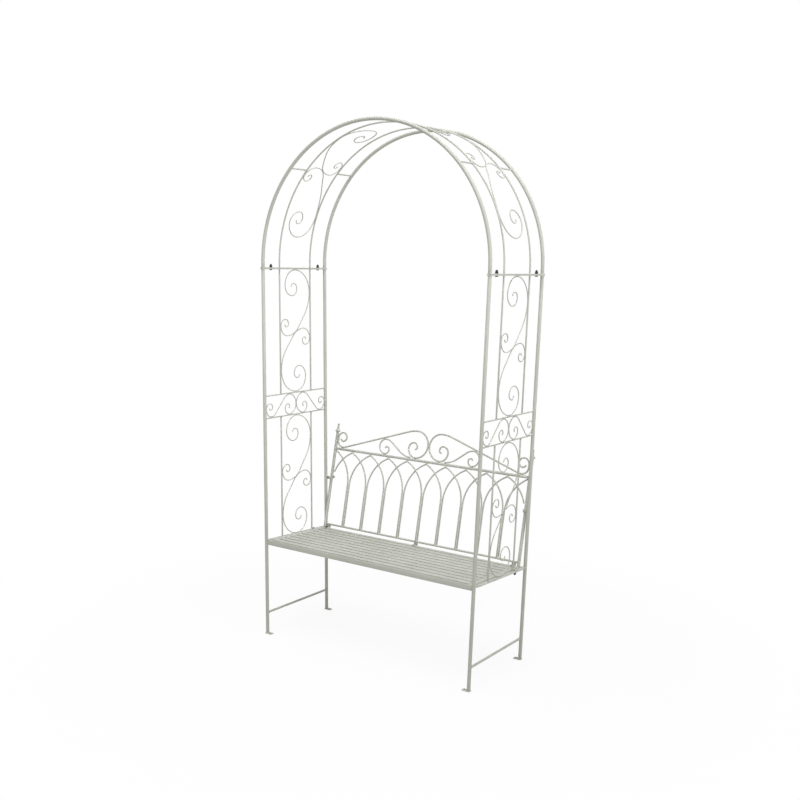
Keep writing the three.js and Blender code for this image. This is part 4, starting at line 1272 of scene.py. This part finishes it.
piece("arch_lock_screw", lock_screw(), BLACK)
UPSIDE_DOWN = Matrix.Rotation(pi, 4, "X")
for name, side in SIDES:
    for end, way, hole in zip(("front", "rear"), (-1, 1), seat_holes(side)):
        spot = moved(side * ARCH_RADIUS, way * BOLT_Y, JOINT_HEIGHT - FLAT)
        node = f"joint_bolt_{name}_{end}"
        piece(f"{node}_domed", laid(bolt(2 * FLAT), UPRIGHT @ spot), BLACK, node)
        spot = moved(*hole, 0)
        node = f"seat_bolt_{name}_{end}"
        work = laid(bolt(-SEAT_BAR_BOTTOM), ON_SEAT @ spot @ UPSIDE_DOWN)
        made = piece(f"{node}_domed", work, BLACK, node)
        paint_head(made, SEAT_HEIGHT - hole[1] * sin(SEAT_SLOPE) - ANGLE)
    front = LUG_BACK - LUG
    grip = STILE_BOLT_Y + STILE / cos(BACK_LEAN) + NUT * tan(BACK_LEAN) - front
    spot = moved(side * STILE_X, front, STILE_BOLT_Z)
    work = laid(bolt(grip + GAP), UPRIGHT @ spot @ Matrix.Rotation(-QUARTER, 4, "X"))
    piece(f"stile_bolt_{name}_domed", work, PAINT, f"stile_bolt_{name}")
for label, x in zip(("left", "middle", "right"), TAB_X):
    spot = moved(x, TAB_BOLT_Y, GAP + TAB)
    work = laid(bolt(TAB + ANGLE + GAP), ON_SEAT @ spot @ UPSIDE_DOWN)
    made = piece(f"tab_bolt_{label}_domed", work, BLACK, f"tab_bolt_{label}")
    if label != "left":
        paint_head(made, SEAT_HEIGHT - TAB_BOLT_Y * sin(SEAT_SLOPE))
print("four joint bolts, four seat bolts, five for the back and a lock screw made")

# %% [markdown]
# ## Where the pieces differ from the frame
#
# Every piece was compared with the CAD piece it stands for. Most differences are the facets'. Two
# are meant: the joint bars are 3 mm narrower, because no ears show beside the posts in the photo,
# and the seat has nine slats where the CAD model has thirteen.

# %% Fit
print("\n".join(fit_notes) or f"every piece is within {FIT} mm of its CAD piece")

# %% [markdown]
# ## The studio
#
# The bench stands on a plain pale floor in soft light. The floor is seen as almost white and keeps
# the bench's faint shadow; for the light that bounces off it, it is a pale grey. One wide soft
# lamp hangs high up in front, so the arch is brighter than the legs. A smaller one stands at the
# right, because all four posts of the real bench are equally light and this evens them out. Its
# grid keeps the light on the upper half, or the right side's legs would turn too pale. The powers
# were found by rendering the bench under each lamp alone.

# %% Floor and world
floor_mesh = bpy.data.meshes.new("studio_floor")
floor_bm = bmesh.new()
bmesh.ops.create_grid(floor_bm, x_segments=1, y_segments=1, size=14.0)
floor_bm.to_mesh(floor_mesh)
floor_bm.free()
floor = bpy.data.objects.new("studio_floor", floor_mesh)
scene.collection.objects.link(floor)


def seen_directly(tree):
    """One where the eye, a gloss or a glass sees the surface, zero where light bounces off it."""
    path = add_node(tree, "LightPath").outputs
    seen = path["Is Camera Ray"]
    for ray in ("Is Glossy Ray", "Is Transmission Ray"):
        seen = add_node(tree, "Math", {"operation": "MAXIMUM"}, {0: seen, 1: path[ray]}).outputs[0]
    return seen


def studio_paper():
    material, tree = new_material("white_studio_paper")
    pale = add_node(tree, "BsdfDiffuse", {"Color": linear("#f7f7f7")}).outputs["BSDF"]
    dim = add_node(tree, "BsdfDiffuse", {"Color": linear("#d8d8d4")}).outputs["BSDF"]
    white = {"Color": (1, 1, 1, 1), "Strength": 1.0}
    glow = add_node(tree, "Emission", white).outputs["Emission"]
    place = add_node(tree, "TexCoord").outputs["Object"]
    away = add_node(tree, "VectorMath", {"operation": "LENGTH"}, {0: place}).outputs["Value"]
    span = dict(zip(RANGE, (0.9, 2.2, 0.91, 1.0)), interpolation_type="SMOOTHSTEP")
    fade = add_node(tree, "MapRange", span, {"Value": away}).outputs["Result"]
    seen = add_node(tree, "MixShader", links={0: fade, 1: pale, 2: glow}).outputs["Shader"]
    both = add_node(tree, "MixShader", links={0: seen_directly(tree), 1: dim, 2: seen})
    add_node(tree, "OutputMaterial", links={"Surface": both.outputs["Shader"]})
    return material


def studio_room():
    world = bpy.data.worlds.new("studio_room")
    world.use_nodes = True
    tree = world.node_tree
    tree.nodes.clear()
    backdrops = []
    for colour, strength in (("#f4f5f2", 0.48), ("#ffffff", 1.0)):
        settings = {"Color": linear(colour), "Strength": strength}
        backdrops.append(add_node(tree, "Background", settings).outputs["Background"])
    links = {0: seen_directly(tree), 1: backdrops[0], 2: backdrops[1]}
    sky = add_node(tree, "MixShader", links=links)
    add_node(tree, "OutputWorld", links={"Surface": sky.outputs["Shader"]})
    return world


floor_mesh.materials.append(studio_paper())
scene.world = studio_room()
print("floor and room made")

# %% Lamps
GRID = radians(45)  # how far the side lamp's grid lets its light fan out


def soft_lamp(name, at, aim, width, power, spread=pi):
    data = bpy.data.lights.new(name, "AREA")
    data.shape = "RECTANGLE"
    data.size = width
    data.size_y = width
    data.energy = power
    data.spread = spread
    lamp = bpy.data.objects.new(name, data)
    scene.collection.objects.link(lamp)
    lamp.location = at
    lamp.rotation_mode = "QUATERNION"
    lamp.rotation_quaternion = (Vector(aim) - Vector(at)).to_track_quat("-Z", "Y")


soft_lamp("overhead_softbox", at=(0.5, -2.2, 7.6), aim=(0, 0, 1.0), width=5.0, power=330.0)
soft_lamp("side_softbox", at=(6, -1.0, 3.4), aim=(0, 0, 2.1), width=2.4, power=15.0, spread=GRID)

# %% [markdown]
# ## The camera
#
# The camera stands where the photographer stood: in front and to the right, a little above the
# arch's joint, looking slightly down, and rolled by a degree. The place came from fitting the
# posts, bars and arch to the photograph, in perspective.

# %% Camera
YAW, PITCH, ROLL = radians(34.69720576), radians(7.59498618), radians(1.20244559)
CAMERA_MM = (2547.9869, -3645.2065 + MIDDLE_Y, 1688.7121)
FOCAL_PIXELS, FRAME_PIXELS, SENSOR = 1048.8497, 800.0, 36.0

spin_z = Matrix.Rotation(-YAW, 3, "Z")
look = Matrix(((1, 0, 0), (0, 0, -1), (0, 1, 0)))
tip = Matrix.Rotation(PITCH, 3, "X")
roll = Matrix.Rotation(ROLL, 3, "Z")
to_camera = roll @ tip @ look @ spin_z
right, down, ahead = to_camera
camera_data = bpy.data.cameras.new("photographer")
camera_data.sensor_width = SENSOR
camera_data.lens = FOCAL_PIXELS / FRAME_PIXELS * SENSOR
camera_data.clip_end = 60.0
camera = bpy.data.objects.new("photographer", camera_data)
scene.collection.objects.link(camera)
turn = Matrix((right, -down, -ahead)).transposed().to_4x4()
camera.matrix_world = Matrix.Translation(Vector(CAMERA_MM) * MM) @ turn
scene.camera = camera
print("camera at", [round(v, 3) for v in camera.matrix_world.translation])

scene.view_settings.view_transform = "Standard"
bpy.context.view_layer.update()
made_pieces = [o for o in scene.objects if o.get("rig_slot")]
triangles = sum(len(p.vertices) - 2 for o in made_pieces for p in o.data.polygons)
print("pieces:", len(made_pieces), "triangles:", triangles)
